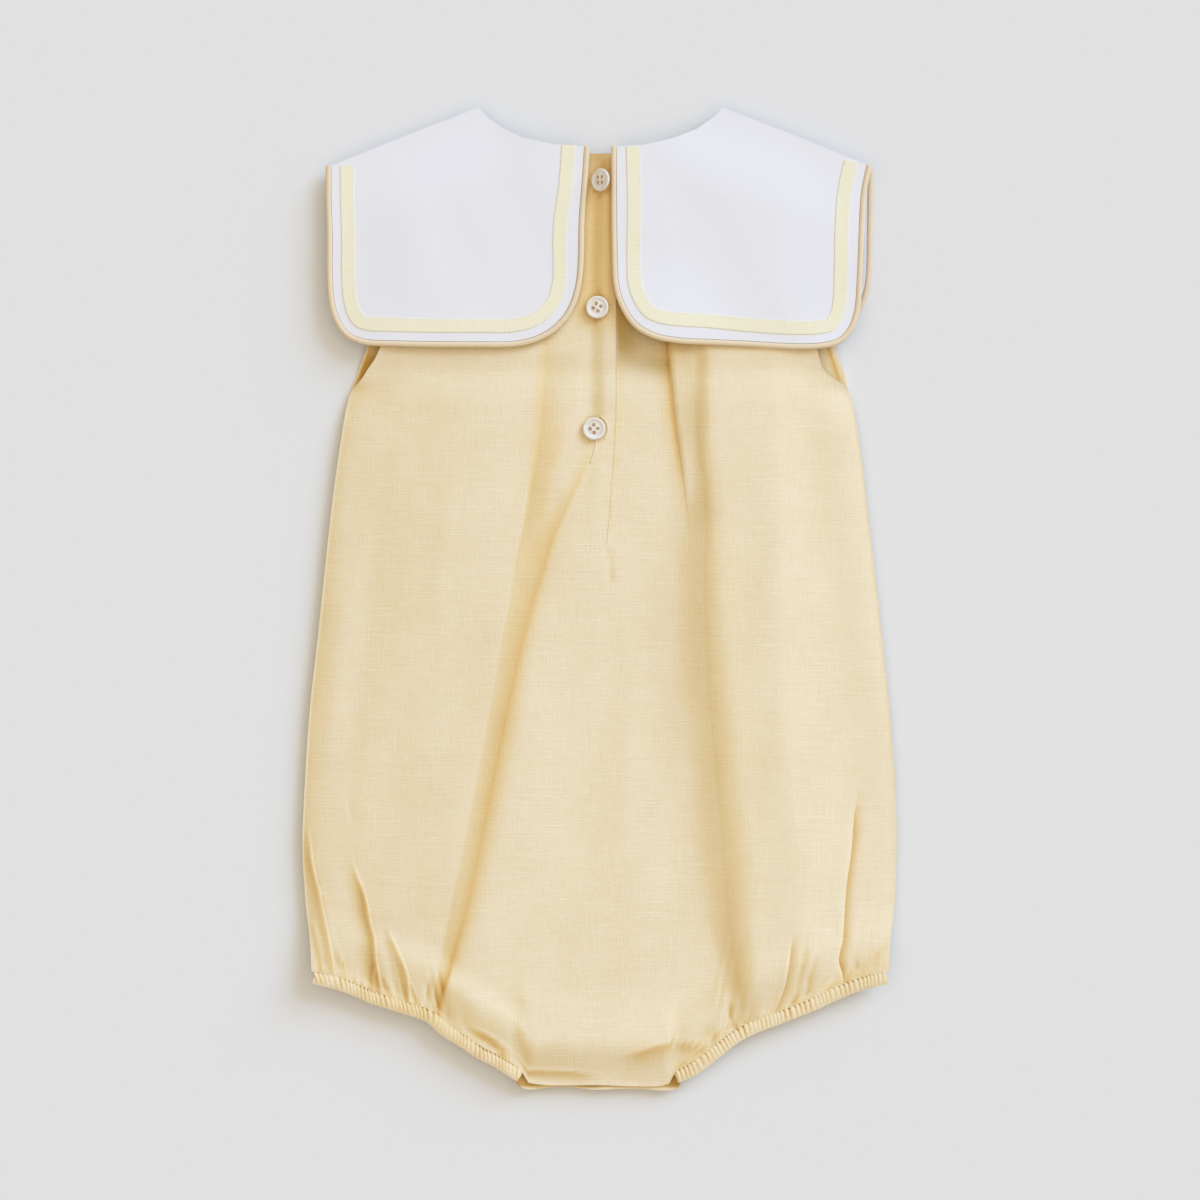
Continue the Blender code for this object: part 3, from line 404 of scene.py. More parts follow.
# Raised folds (positive) and creases (negative), steepest at their lines. Widths are those to
# the right of travel and to the left of it; line points go down the garment or to the right.
Fold = namedtuple("Fold", "height right_hand left_hand end_fade line")
FREE_FOLDS = [
    Fold(1.0, 5.5, 1.0, 26, [(-140, -104), (-138.2, -124.8), (-134.9, -139.2), (-131.5, -156.5),
                             (-129.4, -167), (-127.2, -182)]),
    Fold(0.7, 3, 0.9, 8, [(-138.7, -152), (-135.4, -161.8), (-133, -181)]),
    Fold(0.7, 3.5, 1.0, 7, [(-126, -165), (-122.4, -176.2), (-120.7, -187)]),
    Fold(1.3, 7, 1.1, 26, [(-119.6, -120), (-117.6, -129.1), (-113, -141.1), (-110.4, -153.6),
                           (-108.5, -161.8), (-107.4, -172.8), (-105.8, -181), (-104.8, -190)]),
    Fold(0.6, 2.5, 0.9, 4, [(-107.5, -172), (-109.4, -188)]),
    Fold(1.0, 6, 1.2, 13, [(-102.5, -155), (-99.4, -163.7), (-95, -172.8), (-92.2, -181),
                           (-91.4, -195)]),
    Fold(0.6, 3, 0.9, 4, [(-104.2, -178), (-99.4, -189)]),
    Fold(0.6, 2.5, 0.9, 4, [(-91.2, -181.5), (-85.9, -195)]),
    Fold(-1.2, 2.5, 2.5, 4, [(-82.2, -182), (-83, -192)]),
    Fold(-0.25, 3, 4, 12, [(-122, -90), (-117, -112)]),
    Fold(-1.3, 1.0, 6, 26, [(124.5, -88), (121.9, -103.7), (120.5, -120.5), (118.1, -137.3),
                            (117.1, -151.7), (116.2, -163.7), (114.2, -172.3), (116.2, -179),
                            (118.1, -186)]),
    Fold(-1.0, 1.0, 6.5, 12, [(92.2, -158), (91.7, -165), (90.2, -175.7), (88.3, -185.3),
                              (85.4, -194), (82, -203)]),
    Fold(-0.8, 1.0, 4, 8, [(98.5, -163), (97, -176), (94.1, -185.3), (93, -198)]),
    Fold(-0.9, 0.9, 4.5, 8, [(103, -168), (100.3, -181.9), (99.8, -195)]),
    Fold(-0.6, 0.9, 2.6, 5, [(106.1, -178), (105.6, -192)]),
    Fold(-0.5, 4, 5, 8, [(106.5, -147), (104, -163)]),
    Fold(-0.5, 2, 3, 6, [(112.3, -152), (113.5, -163)]),
    Fold(-0.8, 1.0, 2.8, 3.5, [(121.4, -171), (124.3, -177.1), (127, -178.6)]),
    Fold(-0.6, 1.2, 3, 4, [(133.5, -166), (132, -176)]),
    Fold(-0.5, 1.2, 3, 5, [(137.3, -160), (134.6, -173)]),
    Fold(-1.4, 1.1, 3, 5, [(61.9, -191), (62.4, -199.7), (63.8, -203.5), (67.5, -209)]),
    Fold(1.25, 10, 2.0, 16, [(8, -220), (19.7, -216), (31.7, -212.6), (41.3, -212.2),
                             (48.5, -214.1), (54.6, -218.5)]),
    Fold(-0.6, 1.2, 1.2, 3, [(36.5, -222.9), (47, -222.2)]),
    Fold(-0.6, 1.2, 1.2, 2.5, [(45, -217.6), (51, -219.2)]),
    Fold(-0.7, 2, 6, 6, [(50.4, -202), (54.4, -213)]),
    Fold(-0.8, 1, 2.6, 3, [(54.5, -207), (56.6, -217)]),
    Fold(-0.8, 1, 2.8, 3, [(-62.2, -204.5), (-60.8, -215)]),
    Fold(1.0, 8, 2.0, 12, [(-63, -204.5), (-54, -208), (-47, -213.5), (-43, -221)]),
    Fold(1.1, 7, 1.2, 16, [(-46, -225), (-33, -225.6), (-18.7, -225.6), (-6, -227),
                           (3, -231)]),
    Fold(-0.9, 1.0, 3.5, 8, [(3.5, 27.5), (5, 14), (6.9, 4.5)]),
    Fold(-0.6, 1.2, 2, 3, [(1.5, 90.8), (8.6, 90)]),
    Fold(0.9, 12, 16, 40, [(-68, 75), (-74, 30), (-82, -30)]),
    Fold(0.35, 9, 9, 30, [(84, 118), (87, -52), (96, -124)]),
    Fold(0.5, 7, 7, 14, [(-16.5, 62), (-18.5, 44)]),
    Fold(0.35, 14, 14, 40, [(12, 10), (14, -60), (10, -150)]),
]

# Buttons from the neck down, with their tilt and the turn of their holes in degrees. The
# profile is radii and heights, from the middle of the top round to that of the underside.
ButtonSpot = namedtuple("ButtonSpot", "x y tilt turn")
BUTTONS = [
    ButtonSpot(1.1, 200.2, 40, 45),
    ButtonSpot(-1.0, 139.7, 6, 13),
    ButtonSpot(-2.6, 81.6, 2, 3),
]
BUTTON_RADIUS = 5.45
BUTTON_CLEARANCE = 0.1
BUTTON_REST = (-4, 0, 4)
BUTTON_SHARP_ANGLE = 40.0
BUTTON_HOLES = 4
BUTTON_HOLE_RADIUS = 0.8
BUTTON_HOLE_SPACING = 1.85
BUTTON_PROFILE = [(0, 1.5), (2.85, 1.5), (3.0, 1.42), (3.15, 1.5), (4.2, 1.5), (4.35, 1.62),
                  (4.8, 1.74), (5.15, 1.62), (5.42, 1.25), (5.35, 0.7), (4.9, 0.3), (4.2, 0.1),
                  (0, 0)]
BUTTONHOLE_REACH = 7.6
BUTTONHOLES_SHOW_ABOVE = 100.0

# The finishes of the pieces: material and slot
LINEN = ("Slub linen", "linen")
LINEN_THREAD = ("Sewing thread", "linen")
COTTON = ("Collar cotton", "collar_cotton")
COTTON_THREAD = ("Cotton thread", "collar_cotton")
PIPING = ("Piping cotton", "piping")
RIBBON = ("Grosgrain ribbon", "ribbon")
BUTTON = ("Button resin", "button")
BUTTON_THREAD = ("Button thread", "button")

# Woven materials: the names of their colours, the pitch of their threads and the relief in
# millimetres, and the strength of slubs and clouds. The last two name the tints that a piece's
# painted shade and painted shadow bring out.
Woven = namedtuple("Woven", "name colours pitch slubs cloud relief roughness sheen folds dusk",
                   defaults=((), None))
WOVEN = [
    Woven("Slub linen", ("linen", "linen_light", "linen_dark"),
          0.5, 0.62, 0.2, 0.13, 0.9, 0.15, ("linen_shade", "linen_fold_shade", "linen_deep_shade"),
          "linen_dusk"),
    Woven("Collar cotton", ("cotton", "cotton", "cotton_dark"),
          0.3, 0.12, 0.05, 0.04, 0.75, 0.1),
    Woven("Piping cotton", ("piping", "piping_light", "piping_dark"),
          0.32, 0.3, 0.15, 0.05, 0.8, 0.1),
    Woven("Sewing thread", ("thread", "thread", "linen_dark"), 0.25, 0.2, 0.1, 0.03, 0.6, 0.2),
    Woven("Cotton thread", ("cotton", "cotton", "cotton_dark"),
          0.25, 0.2, 0.1, 0.03, 0.6, 0.2),
    Woven("Button thread", ("button_thread",) * 3, 0.25, 0.2, 0.1, 0.03, 0.7, 0.1),
]

# Grains of the weave on the cloth: width and height in millimetres, a shift that makes each
# different, and the part of the noise that shows. Threads have one grain along the weft, one
# along the warp, and the strength of the second.
Grain = namedtuple("Grain", "width height shift low high")
LONG_SLUBS = (Grain(26, 0.8, 1.0, 0.52, 0.72), Grain(0.78, 19, 9.0, 0.53, 0.73), 0.75)
SHORT_SLUBS = (Grain(7, 0.68, 5.0, 0.48, 0.72), Grain(0.66, 6, 13.0, 0.48, 0.72), 0.85)
LONG_GAPS = (Grain(15, 0.74, 21.0, 0.53, 0.75), Grain(0.72, 12, 27.0, 0.53, 0.75), 0.95)
PORES = (Grain(2.8, 0.62, 41.0, 0.5, 0.78), Grain(0.6, 2.6, 47.0, 0.5, 0.78), 1.0)
SLUB_PATCHES = Grain(11, 7, 17.0, 0.32, 0.68)
CLOUDS = Grain(28, 34, 33.0, 0.3, 0.7)
SHORT_SLUB_SHARE = 0.8
PORE_SHARE = 0.6
CROSSING_SHADE = 0.08
GAP_SHADE = 0.37
SLUB_TINT = 0.62
WEAVE_LEVEL = 0.4
CROSSING_RELIEF = 0.22
SLUB_RELIEF = 0.5
GAP_RELIEF = 0.3

# Stage: colours of the lights, width of the overhead one, half side of the floor in metres, its
# depth below the romper and the camera's distance from the middle
COOL_LIGHT = (0.572, 0.8135, 1.205)
WARM_LIGHT = (1.11, 1.0, 0.826)
OVERHEAD_SOFTNESS = 110.0
FLOOR_HALF_SIDE = 4.0
FLOOR_DEPTH = 0.1
CAMERA_SHIFT = 0.24


# ---------------------------------------------------------------- curves and tables

def mix(start, end, share):
    return start + (end - start) * share


def smooth(share):
    """0 to 1, level at both ends."""
    share = np.clip(share, 0.0, 1.0)
    return share * share * (3 - 2 * share)


def rise(value, start, reach):
    """0 up to start, then easing to 1 over reach."""
    return smooth((value - start) / reach)


def fall(value, end, reach):
    """1, easing to 0 over reach as the value comes up to end."""
    return smooth((end - value) / reach)


def near(distance, reach):
    """1 at no distance, easing to 0 at reach."""
    return smooth(1 - distance / reach)


def glow(distance, reach):
    """1 on a line, fading on both sides, fastest beside the line."""
    return np.exp(-np.abs(distance) / reach)


def bell(distance, reach):
    """1 on a line, fading on both sides like a bell."""
    return np.exp(-(distance / reach) ** 2)


def wedge(past, left, right, powers=(1.0, 1.0)):
    """1 on a line, falling to 0 at a reach to its left and to its right."""
    return np.where(past < 0, np.clip(1 + past / left, 0, 1) ** powers[0],
                    np.clip(1 - past / right, 0, 1) ** powers[1])


def table_curve(ys, values):
    """A smooth curve through values at rising ys, as a function of y."""
    slopes = np.diff(values) / np.diff(ys)
    product, total = slopes[:-1] * slopes[1:], slopes[:-1] + slopes[1:]
    inner = np.where(product > 0, 2 * product / np.where(product > 0, total, 1), 0)
    at_rows = np.concatenate([slopes[:1], inner, slopes[-1:]])

    def curve(y):
        y = np.clip(y, ys[0], ys[-1])
        row = np.clip(np.searchsorted(ys, y, side="right") - 1, 0, len(ys) - 2)
        span = ys[row + 1] - ys[row]
        share = (y - ys[row]) / span
        back = 1 - share
        return (values[row] * (1 + 2 * share) * back * back
                + values[row + 1] * share * share * (3 - 2 * share)
                + span * share * back * (at_rows[row] * back - at_rows[row + 1] * share))

    return curve


def table_curves(names, rows):
    """The curves of a table's columns by name; its rows go down the garment."""
    columns = np.array(rows[::-1], float).T
    return {name: table_curve(columns[0], values)
            for name, values in zip(names.split(), columns[1:])}


def smooth_line(points, steps=8):
    """A dense line on a smooth curve through given points."""
    points = np.array(points, float)
    share = np.arange(steps)[:, None] / steps
    line = []
    for index in range(len(points) - 1):
        first, second = points[index], points[index + 1]
        before = points[max(0, index - 1)]
        after = points[min(len(points) - 1, index + 2)]
        length = np.linalg.norm(second - first)
        start = (second - before) / np.linalg.norm(second - before) * length
        end = (after - first) / np.linalg.norm(after - first) * length
        line.append((2 * share**3 - 3 * share**2 + 1) * first
                    + (share**3 - 2 * share**2 + share) * start
                    + (3 * share**2 - 2 * share**3) * second + (share**3 - share**2) * end)
    return np.vstack(line + [points[-1:]])


def directions(line):
    """Unit directions along a line, at its points."""
    padded = np.vstack([line[:1], line, line[-1:]])
    along = padded[2:] - padded[:-2]
    return along / np.maximum(1e-9, np.linalg.norm(along, axis=1))[:, None]


def offset_line(line, distance):
    """The line moved to the left of its direction of travel."""
    along = directions(line)
    return line + distance * np.stack([-along[:, 1], along[:, 0]], axis=1)


def line_lengths(line):
    steps = np.linalg.norm(np.diff(line, axis=0), axis=1)
    return np.concatenate([[0.0], np.cumsum(steps)])


def strip_edges(middle, width):
    """The left and right edges of a strip along a line, and the lengths along the line."""
    return (offset_line(middle, width / 2), offset_line(middle, -width / 2),
            line_lengths(middle))


def at_shares(line, shares):
    lengths = line_lengths(line)
    wanted = np.asarray(shares) * lengths[-1]
    return np.stack([np.interp(wanted, lengths, line[:, axis])
                     for axis in range(line.shape[1])], axis=1)


def resample(line, count):
    return at_shares(line, np.linspace(0, 1, count + 1))


def across(line, x):
    """The height of a left-to-right line at x."""
    return np.interp(x, np.maximum.accumulate(line[:, 0]), line[:, 1])


def line_distance(line, x, y):
    """Signed distance from a line (right of travel negative) and length to its nearer end."""
    best = np.full(np.shape(x), 1e9)
    side = np.ones(np.shape(x))
    along = np.zeros(np.shape(x))
    lengths = line_lengths(line)
    for index, (first, second) in enumerate(zip(line, line[1:])):
        run = second - first
        square = run @ run
        if square == 0:
            continue
        share = np.clip(((x - first[0]) * run[0] + (y - first[1]) * run[1]) / square, 0, 1)
        away_x, away_y = x - first[0] - share * run[0], y - first[1] - share * run[1]
        distance = np.hypot(away_x, away_y)
        nearer = distance < best
        best = np.where(nearer, distance, best)
        side = np.where(nearer, np.where(run[0] * away_y - run[1] * away_x > 0, 1, -1), side)
        along = np.where(nearer, lengths[index] + share * np.sqrt(square), along)
    return best * side, np.minimum(along, lengths[-1] - along)


def fold_line(fold):
    """A free fold's line, run past the hem where the fold goes down into it."""
    line = smooth_line(fold.line, 3)
    ahead = line[-1] - line[-2]
    ahead = ahead / np.linalg.norm(ahead)
    into_hem = line[-1, 1] < HEM_FOLD_END and ahead[1] < -0.5
    if not into_hem:
        return line
    return np.vstack([line, line[-1] + HEM_FOLD_RUN_ON * fold.end_fade * ahead])


EDGE = table_curves(*EDGES)
FOLD = table_curves(*FOLD_LINES)
FOLD_SIZE = table_curves(*FOLD_SIZES)
GRID = table_curves(*GRID_LINES)
SHADE = table_curves(*SHADES)
LEFT_HEM_LINE = smooth_line(LEFT_HEM)
RIGHT_HEM_LINE = smooth_line(RIGHT_HEM)
HEM_ALLOWANCE = CASING_WIDTH + HEM_SEAM_GAP
LEFT_SEAM_LINE = offset_line(LEFT_HEM_LINE, HEM_ALLOWANCE)
RIGHT_SEAM_LINE = offset_line(RIGHT_HEM_LINE, HEM_ALLOWANCE)
BACK_BOTTOM_LINE = np.vstack([LEFT_SEAM_LINE, smooth_line(BACK_CROTCH), RIGHT_SEAM_LINE])
FRONT_BOTTOM_LINE = np.vstack([LEFT_SEAM_LINE, [(CROTCH_LEFT, FRONT_CROTCH_SEAM),
                                                (CROTCH_RIGHT, FRONT_CROTCH_SEAM)],
                               RIGHT_SEAM_LINE])
BACK_TOP_LINE = np.array(BACK_TOP, float)
FRONT_TOP_LINE = np.array(FRONT_TOP, float)
FREE_FOLD_LINES = [fold_line(fold) for fold in FREE_FOLDS]

# The leg hems, with the seed of their unevenness and the slant of their gathers and ribs
Hem = namedtuple("Hem", "side line seam seed gather_lean rib_slant")
HEMS = (Hem("left", LEFT_HEM_LINE, LEFT_SEAM_LINE, 3, 0.25, -3.4),
        Hem("right", RIGHT_HEM_LINE, RIGHT_SEAM_LINE, 8, -0.25, 1.2))


# ---------------------------------------------------------------- heights of the layers

def hem_lift(x, y):
    """How far the elastic of the leg hems draws the cloth up off the surface."""
    above = y - across(FRONT_BOTTOM_LINE, x)
    at_leg = 1 - CROTCH_LIFT_LOSS * fall(np.abs(x), *CROTCH_SPAN)
    return HEM_LIFT * at_leg * near(above, HEM_LIFT_REACH)


def side_curl(x, y):
    """How far the body's sides curl up off the surface."""
    inside = np.minimum(x - EDGE["front_left"](y), EDGE["front_right"](y) - x)
    return SIDE_CURL * near(inside, SIDE_CURL_WIDTH) * fall(y, *SIDE_CURL_SPAN)


def casing_lift(x, y):
    """How far a leg casing is off the surface."""
    return hem_lift(x, y) + side_curl(x, y)


def front_top_z(x, y):
    """The inner face of the front panel: flat, over the front collar, curled up at the sides."""
    piping = FLAT_PIPING_HEIGHT + PIPING_CLEARANCE + SEAM_GAP
    over_collar = piping * rise(y, *FRONT_COLLAR_SPAN)
    return LINEN_WALL + over_collar + side_curl(x, y) + hem_lift(x, y)


def ease(share):
    """Steepest at 0, easing to level at 1."""
    return np.sin(0.5 * math.pi * np.clip(share, 0, 1))


def pleats(x, y):
    """The two neck pleats and the valleys that they open into."""
    under_collar = 1 - PLEAT_PRESS * rise(y, *PLEAT_PRESS_SPAN)
    fade_neck = fall(y, *PLEAT_NECK_SPAN)
    size = {name: curve(y) for name, curve in FOLD_SIZE.items()}
    past = x - FOLD["left_pleat"](y)
    climb = size["pleat_drop"] + size["pleat_rise"]
    left = np.where(past < 0, 0, climb * ease(past / size["pleat_width"])
                    - size["pleat_drop"] * rise(past, 0, EDGE_TURN)
                    - size["pleat_rise"] * rise(past, size["pleat_width"], PLEAT_RELAX))
    past = x - FOLD["left_core"](y)
    bank = size["bank"] * (smooth(0.5 + past / (2 * BANK_WALL))
                           - rise(past, BANK_WALL, BANK_WIDTH))
    past = x - FOLD["right_tuck"](y)
    turned = TUCK_BEFORE + TUCK_TURNED * rise(past, 0, EDGE_TURN)
    tuck = size["tuck"] * np.where(past < 0, TUCK_BEFORE * smooth(1 + past / TUCK_APPROACH),
                                   turned * (1 - rise(past, 0, TUCK_WIDTH)))
    past = x - FOLD["right_step"](y)
    step = size["step_rise"] * (smooth(1 + past / size["step_width"])
                                - rise(past, 0, STEP_SHOULDER))
    from_crest = np.abs(x - FOLD["right_crest"](y))
    crest = CREST_HEIGHT * near(from_crest, CREST_WIDTH)
    return (left + bank + tuck + step + crest) * under_collar * fade_neck


def free_folds(x, y):
    """Heights of the free folds and the painted shade beside the crisp ones."""
    total, shade = np.zeros(np.shape(x)), np.zeros(np.shape(x))
    for fold, line in zip(FREE_FOLDS, FREE_FOLD_LINES):
        away, to_end = line_distance(line, x, y)
        width = np.where(away < 0, fold.right_hand, fold.left_hand)
        share = np.clip(1 - np.abs(away) / width, 0, 1)
        wide = width > WIDE_FOLD
        fade = smooth(to_end / fold.end_fade)
        total += fold.height * np.where(wide, share ** WIDE_FOLD_POWER, smooth(share)) * fade
        if min(fold.right_hand, fold.left_hand) < CRISP_FOLD:
            power = np.where(wide, WIDE_SHADE_POWER, NARROW_SHADE_POWER)
            shade += abs(fold.height) * share ** power * fade
    return FOLD_RELIEF * total, shade


def painted_free_fold_shade(x, y):
    """The painted shade of the free folds, which stops at the hem's seam."""
    above_hem = y - across(BACK_BOTTOM_LINE, x)
    return free_folds(x, y)[1] * rise(above_hem, -3, 4)


def wander(run, long_seed, short_seed):
    """How far gathers stray from an even pitch along a hem, from -2 to 2."""
    return np.sin(run / LONG_WANDER + long_seed) + np.sin(run / SHORT_WANDER + short_seed)


def hem_gathers(x, y):
    """Puckers that the elastic draws into the panel and the painted shade in them, fading
    upwards.
    """
    total, shade = np.zeros(np.shape(x)), np.zeros(np.shape(x))
    for hem in HEMS:
        low, high = hem.seam[0, 0], hem.seam[-1, 0]
        above = y - across(hem.seam, x)
        foot = x + hem.gather_lean * above
        inside = (rise(foot - low, -GATHER_EASE / 2, GATHER_EASE)
                  * fall(foot, high + GATHER_EASE / 2, GATHER_EASE))
        run = np.interp(foot, hem.seam[:, 0], line_lengths(hem.seam))
        for order, gather in enumerate(GATHERS):
            wobble = gather.wobble * wander(run, hem.seed + order, 2.3 * hem.seed + order)
            ridge = np.abs(np.cos(math.pi * (run / gather.wavelength + wobble)))
            vary = 0.65 + 0.35 * np.sin(run / 6.3 + 1.7 * hem.seed + 2 * order)
            fade = np.exp(-np.maximum(0, above) / (gather.reach * (0.7 + 0.5 * vary)))
            total += gather.height * vary * (ridge - RIDGE_LEVEL) * fade * inside
            shade += gather.shade * vary * (1 - ridge) ** 2 * fade * inside
    return total, shade


def ripples(x, y):
    """The slight unevenness that cloth keeps when it is laid out by hand."""
    return (0.16 * np.sin(x / 13.0 + 1.1 * np.sin(y / 37.0))
            + 0.12 * np.sin(x / 7.1 + y / 41.0 + 2.0)
            + 0.14 * np.sin(y / 23.0 + 0.8 * np.sin(x / 29.0) + 1.0)
            + 0.05 * np.sin(x / 3.9 - y / 17.0))


def buttoned(y):
    """0 in the placket's loose foot, 1 where its buttons hold it flat."""
    return rise(y, *BUTTONED_SPAN)


def lap_rise(x, y):
    """How far the overlapping side of the placket is lifted by the underlap beneath it."""
    over = FOLD["slit"](y) - x
    lift = ((LINEN_WALL + SEAM_GAP) * fall(over, LAP_WIDTH + LAP_RAMP, LAP_RAMP)
            * rise(y, SLIT_END, LAP_FADE) * mix(LAP_SLACK, 1, buttoned(y)))
    return np.where(over < 0, 0.0, lift)


def back_under_z(x, y, detail=1.0):
    """The inner face of the back panel, without the lift of the placket."""
    inside = np.maximum(0, np.minimum(x - EDGE["back_left"](y), EDGE["back_right"](y) - x))
    above_hem = y - across(BACK_BOTTOM_LINE, x)
    below_top = across(BACK_TOP_LINE, x) - y
    sag = MIDDLE_SAG * rise(inside, 0, MIDDLE_SAG_REACH)
    crown = CROWN * (1 - np.exp(-inside / CROWN_REACH)) - sag
    crown = crown * (1 - COLLAR_PRESS * rise(y, *COLLAR_PRESS_SPAN))
    at_armhole = np.exp(-inside / ARMHOLE_LIFT_REACH) * rise(y, *ARMHOLE_LIFT_SPAN)
    crown = crown + ARMHOLE_LIFT * at_armhole * detail
    crown = crown + pleats(x, y) * rise(inside, *PLEAT_EDGE_SPAN)
    crown = crown * (mix(HEM_CLOSE, 1.0, rise(above_hem, 0, HEM_PUFF_REACH))
                     * rise(below_top, 0, NECK_CLOSE_REACH))
    if detail:
        free = free_folds(x, y)[0] * rise(inside, *FOLD_EDGE_SPAN)
        crown = crown + free * mix(FOLD_AT_HEM, 1, rise(above_hem, 0, FOLD_HEM_REACH))
        away = rise(inside, 0, RIPPLE_EDGE) * fall(y, *RIPPLE_SPAN)
        crown = crown + hem_gathers(x, y)[0] + ripples(x, y) * away
    least = mix(HEM_CROWN, LEAST_CROWN, rise(above_hem, 0, HEM_CROWN_REACH))
    return front_top_z(x, y) + SEAM_GAP + np.maximum(least, crown)


def back_top_z(x, y, detail=1.0):
    """The outer face of the back panel."""
    return back_under_z(x, y, detail) + lap_rise(x, y) + LINEN_WALL


def soft_maximum(first, second, sharpness=4):
    """The higher of two heights, rounded where they cross."""
    return np.log(np.exp(sharpness * first) + np.exp(sharpness * second)) / sharpness


def wing_under_z(x, y, shoulder):
    """The face of a collar wing that rests on the body: level, over the body's high spots."""
    left, right = EDGE["back_left"](y), EDGE["back_right"](y)
    held_x = np.clip(x, left, right)
    held_y = np.minimum(y, across(BACK_TOP_LINE, held_x))
    past = np.maximum(np.maximum(left - x, x - right) + WING_SIDE_START, 0)
    level = mix(WING_LEVEL, WING_SIDE_LEVEL, rise(past, 0, WING_SIDE_REACH))
    corner = np.hypot(x - WING_CORNER[0], y - WING_CORNER[1])
    level = level + WING_CORNER_LIFT * near(corner, WING_CORNER_REACH)
    for wave in WING_WAVES:
        level = level + wave.height * np.sin(x / wave.x_length + y / wave.y_length + wave.phase)
    body = back_top_z(held_x, held_y, 0.0) + WING_CLEARANCE
    away, _ = line_distance(shoulder, x, y)
    level = mix(level, SHOULDER_EDGE_LEVEL, near(np.abs(away), SHOULDER_TURN))
    return soft_maximum(level, body)


def blurred(values, reach):
    """Values at even steps, averaged with a bell-shaped weight."""
    half = int(3 * reach)
    weight = np.exp(-0.5 * (np.arange(-half, half + 1) / reach) ** 2)
    padded = np.pad(values, half, mode="edge")
    return np.convolve(padded, weight / weight.sum(), mode="valid")


def painted_slope_shade(xs, ys, zs):
    """Painted shade: deeper colour where the cloth turns from the light or lies in a hollow."""
    x_c, x_r = np.gradient(xs)
    y_c, y_r = np.gradient(ys)
    z_c, z_r = np.gradient(zs)
    area = x_c * y_r - x_r * y_c
    area = np.where(np.abs(area) < 1e-6, -1e-6, area)
    slope_x = (z_c * y_r - z_r * y_c) / area
    slope_y = (z_r * x_c - z_c * x_r) / area
    slope = np.clip(LIGHT_WAY[0] * slope_x + LIGHT_WAY[1] * slope_y, 0, STEEPEST)
    hollow = np.zeros(zs.shape)
    for row in range(xs.shape[1]):
        even = np.arange(xs[0, row], xs[-1, row], BLUR_STEP)

        def blur(values, reach, even=even, row=row):
            level = np.interp(even, xs[:, row], values[:, row])
            return level, blurred(level, reach)

        level, mean = blur(zs, HOLLOW_REACH / BLUR_STEP)
        hollow[:, row] = np.interp(xs[:, row], even, np.clip(mean - level, 0, DEEPEST_HOLLOW))
        slope[:, row] = np.interp(xs[:, row], even, blur(slope, SLOPE_BLUR_STEPS)[1])
    return SLOPE_PAINTED_SHADE * slope + HOLLOW_PAINTED_SHADE * hollow


def painted_collar_shade(x, y):
    """Painted shade beside and between the collar's wings, along the slit and round the buttons,
    with the buttonholes' darker marks.
    """
    left, right = (np.abs(line_distance(smooth_line(wing, 3), x, y)[0])
                   for wing in (LEFT_WING, RIGHT_WING))
    beside_wing = 0.5 * glow(np.minimum(left, right), 1.1)
    between_wings = 0.75 * rise(y, 122, 22) * fall(np.abs(x), 14, 4)
    past_slit = x - FOLD["slit"](y)
    past_tuck = x - FOLD["right_tuck"](y)
    below_wing = np.maximum(0, PLEAT_PRESS_SPAN[0] - y)
    under_wing = (rise(past_tuck, 0, 0.8) * fall(past_tuck, 11, 4)
                  * (0.15 * rise(y, 60, 30) + 0.4 * glow(below_wing, 4)))
    beside_slit = 0.6 * glow(past_slit - 0.3, 1.1) * (past_slit > 0) * rise(y, 72, 14)
    thin_line = 0.4 * glow(past_slit - 0.2, 0.7) * fall(y, 96, 10) * rise(y, 28, 8)
    total = beside_wing + between_wings + under_wing + beside_slit + thin_line
    for spot in BUTTONS:
        away = np.hypot(x - spot.x, y - spot.y)
        # Painted shadow in a ring round each button
        total = total + 0.9 * glow(away - BUTTON_RADIUS, 0.8)
        # The darker marks of the buttonholes above and below the upper buttons
        if spot.y > BUTTONHOLES_SHOW_ABOVE:
            for end in (-1, 1):
                mark = np.hypot(x - spot.x - 0.8 * end,
                                (y - spot.y - end * BUTTONHOLE_REACH) / 1.6)
                total = total + 0.4 * fall(mark, 1.6, 1)
    return total


def painted_armhole_shade(x, y):
    """Painted shade on the strips of the front panel that show beside the back at the armholes.
    """
    from_left, from_right = x - EDGE["front_left"](y), EDGE["front_right"](y) - x
    left_side = mix(1.35, 2.0, fall(y, 120, 6)) * rise(from_left, 0, 1.6)
    crease = from_right - ARMHOLE_CREASE
    right_side = 0.15 + 2.0 * glow(crease, np.where(crease < 0, 0.6, 1.7))
    right_side = right_side * rise(from_right, 1.0, 1.2)
    return rise(y, 99, 6) * np.where(x < 0, left_side, right_side)


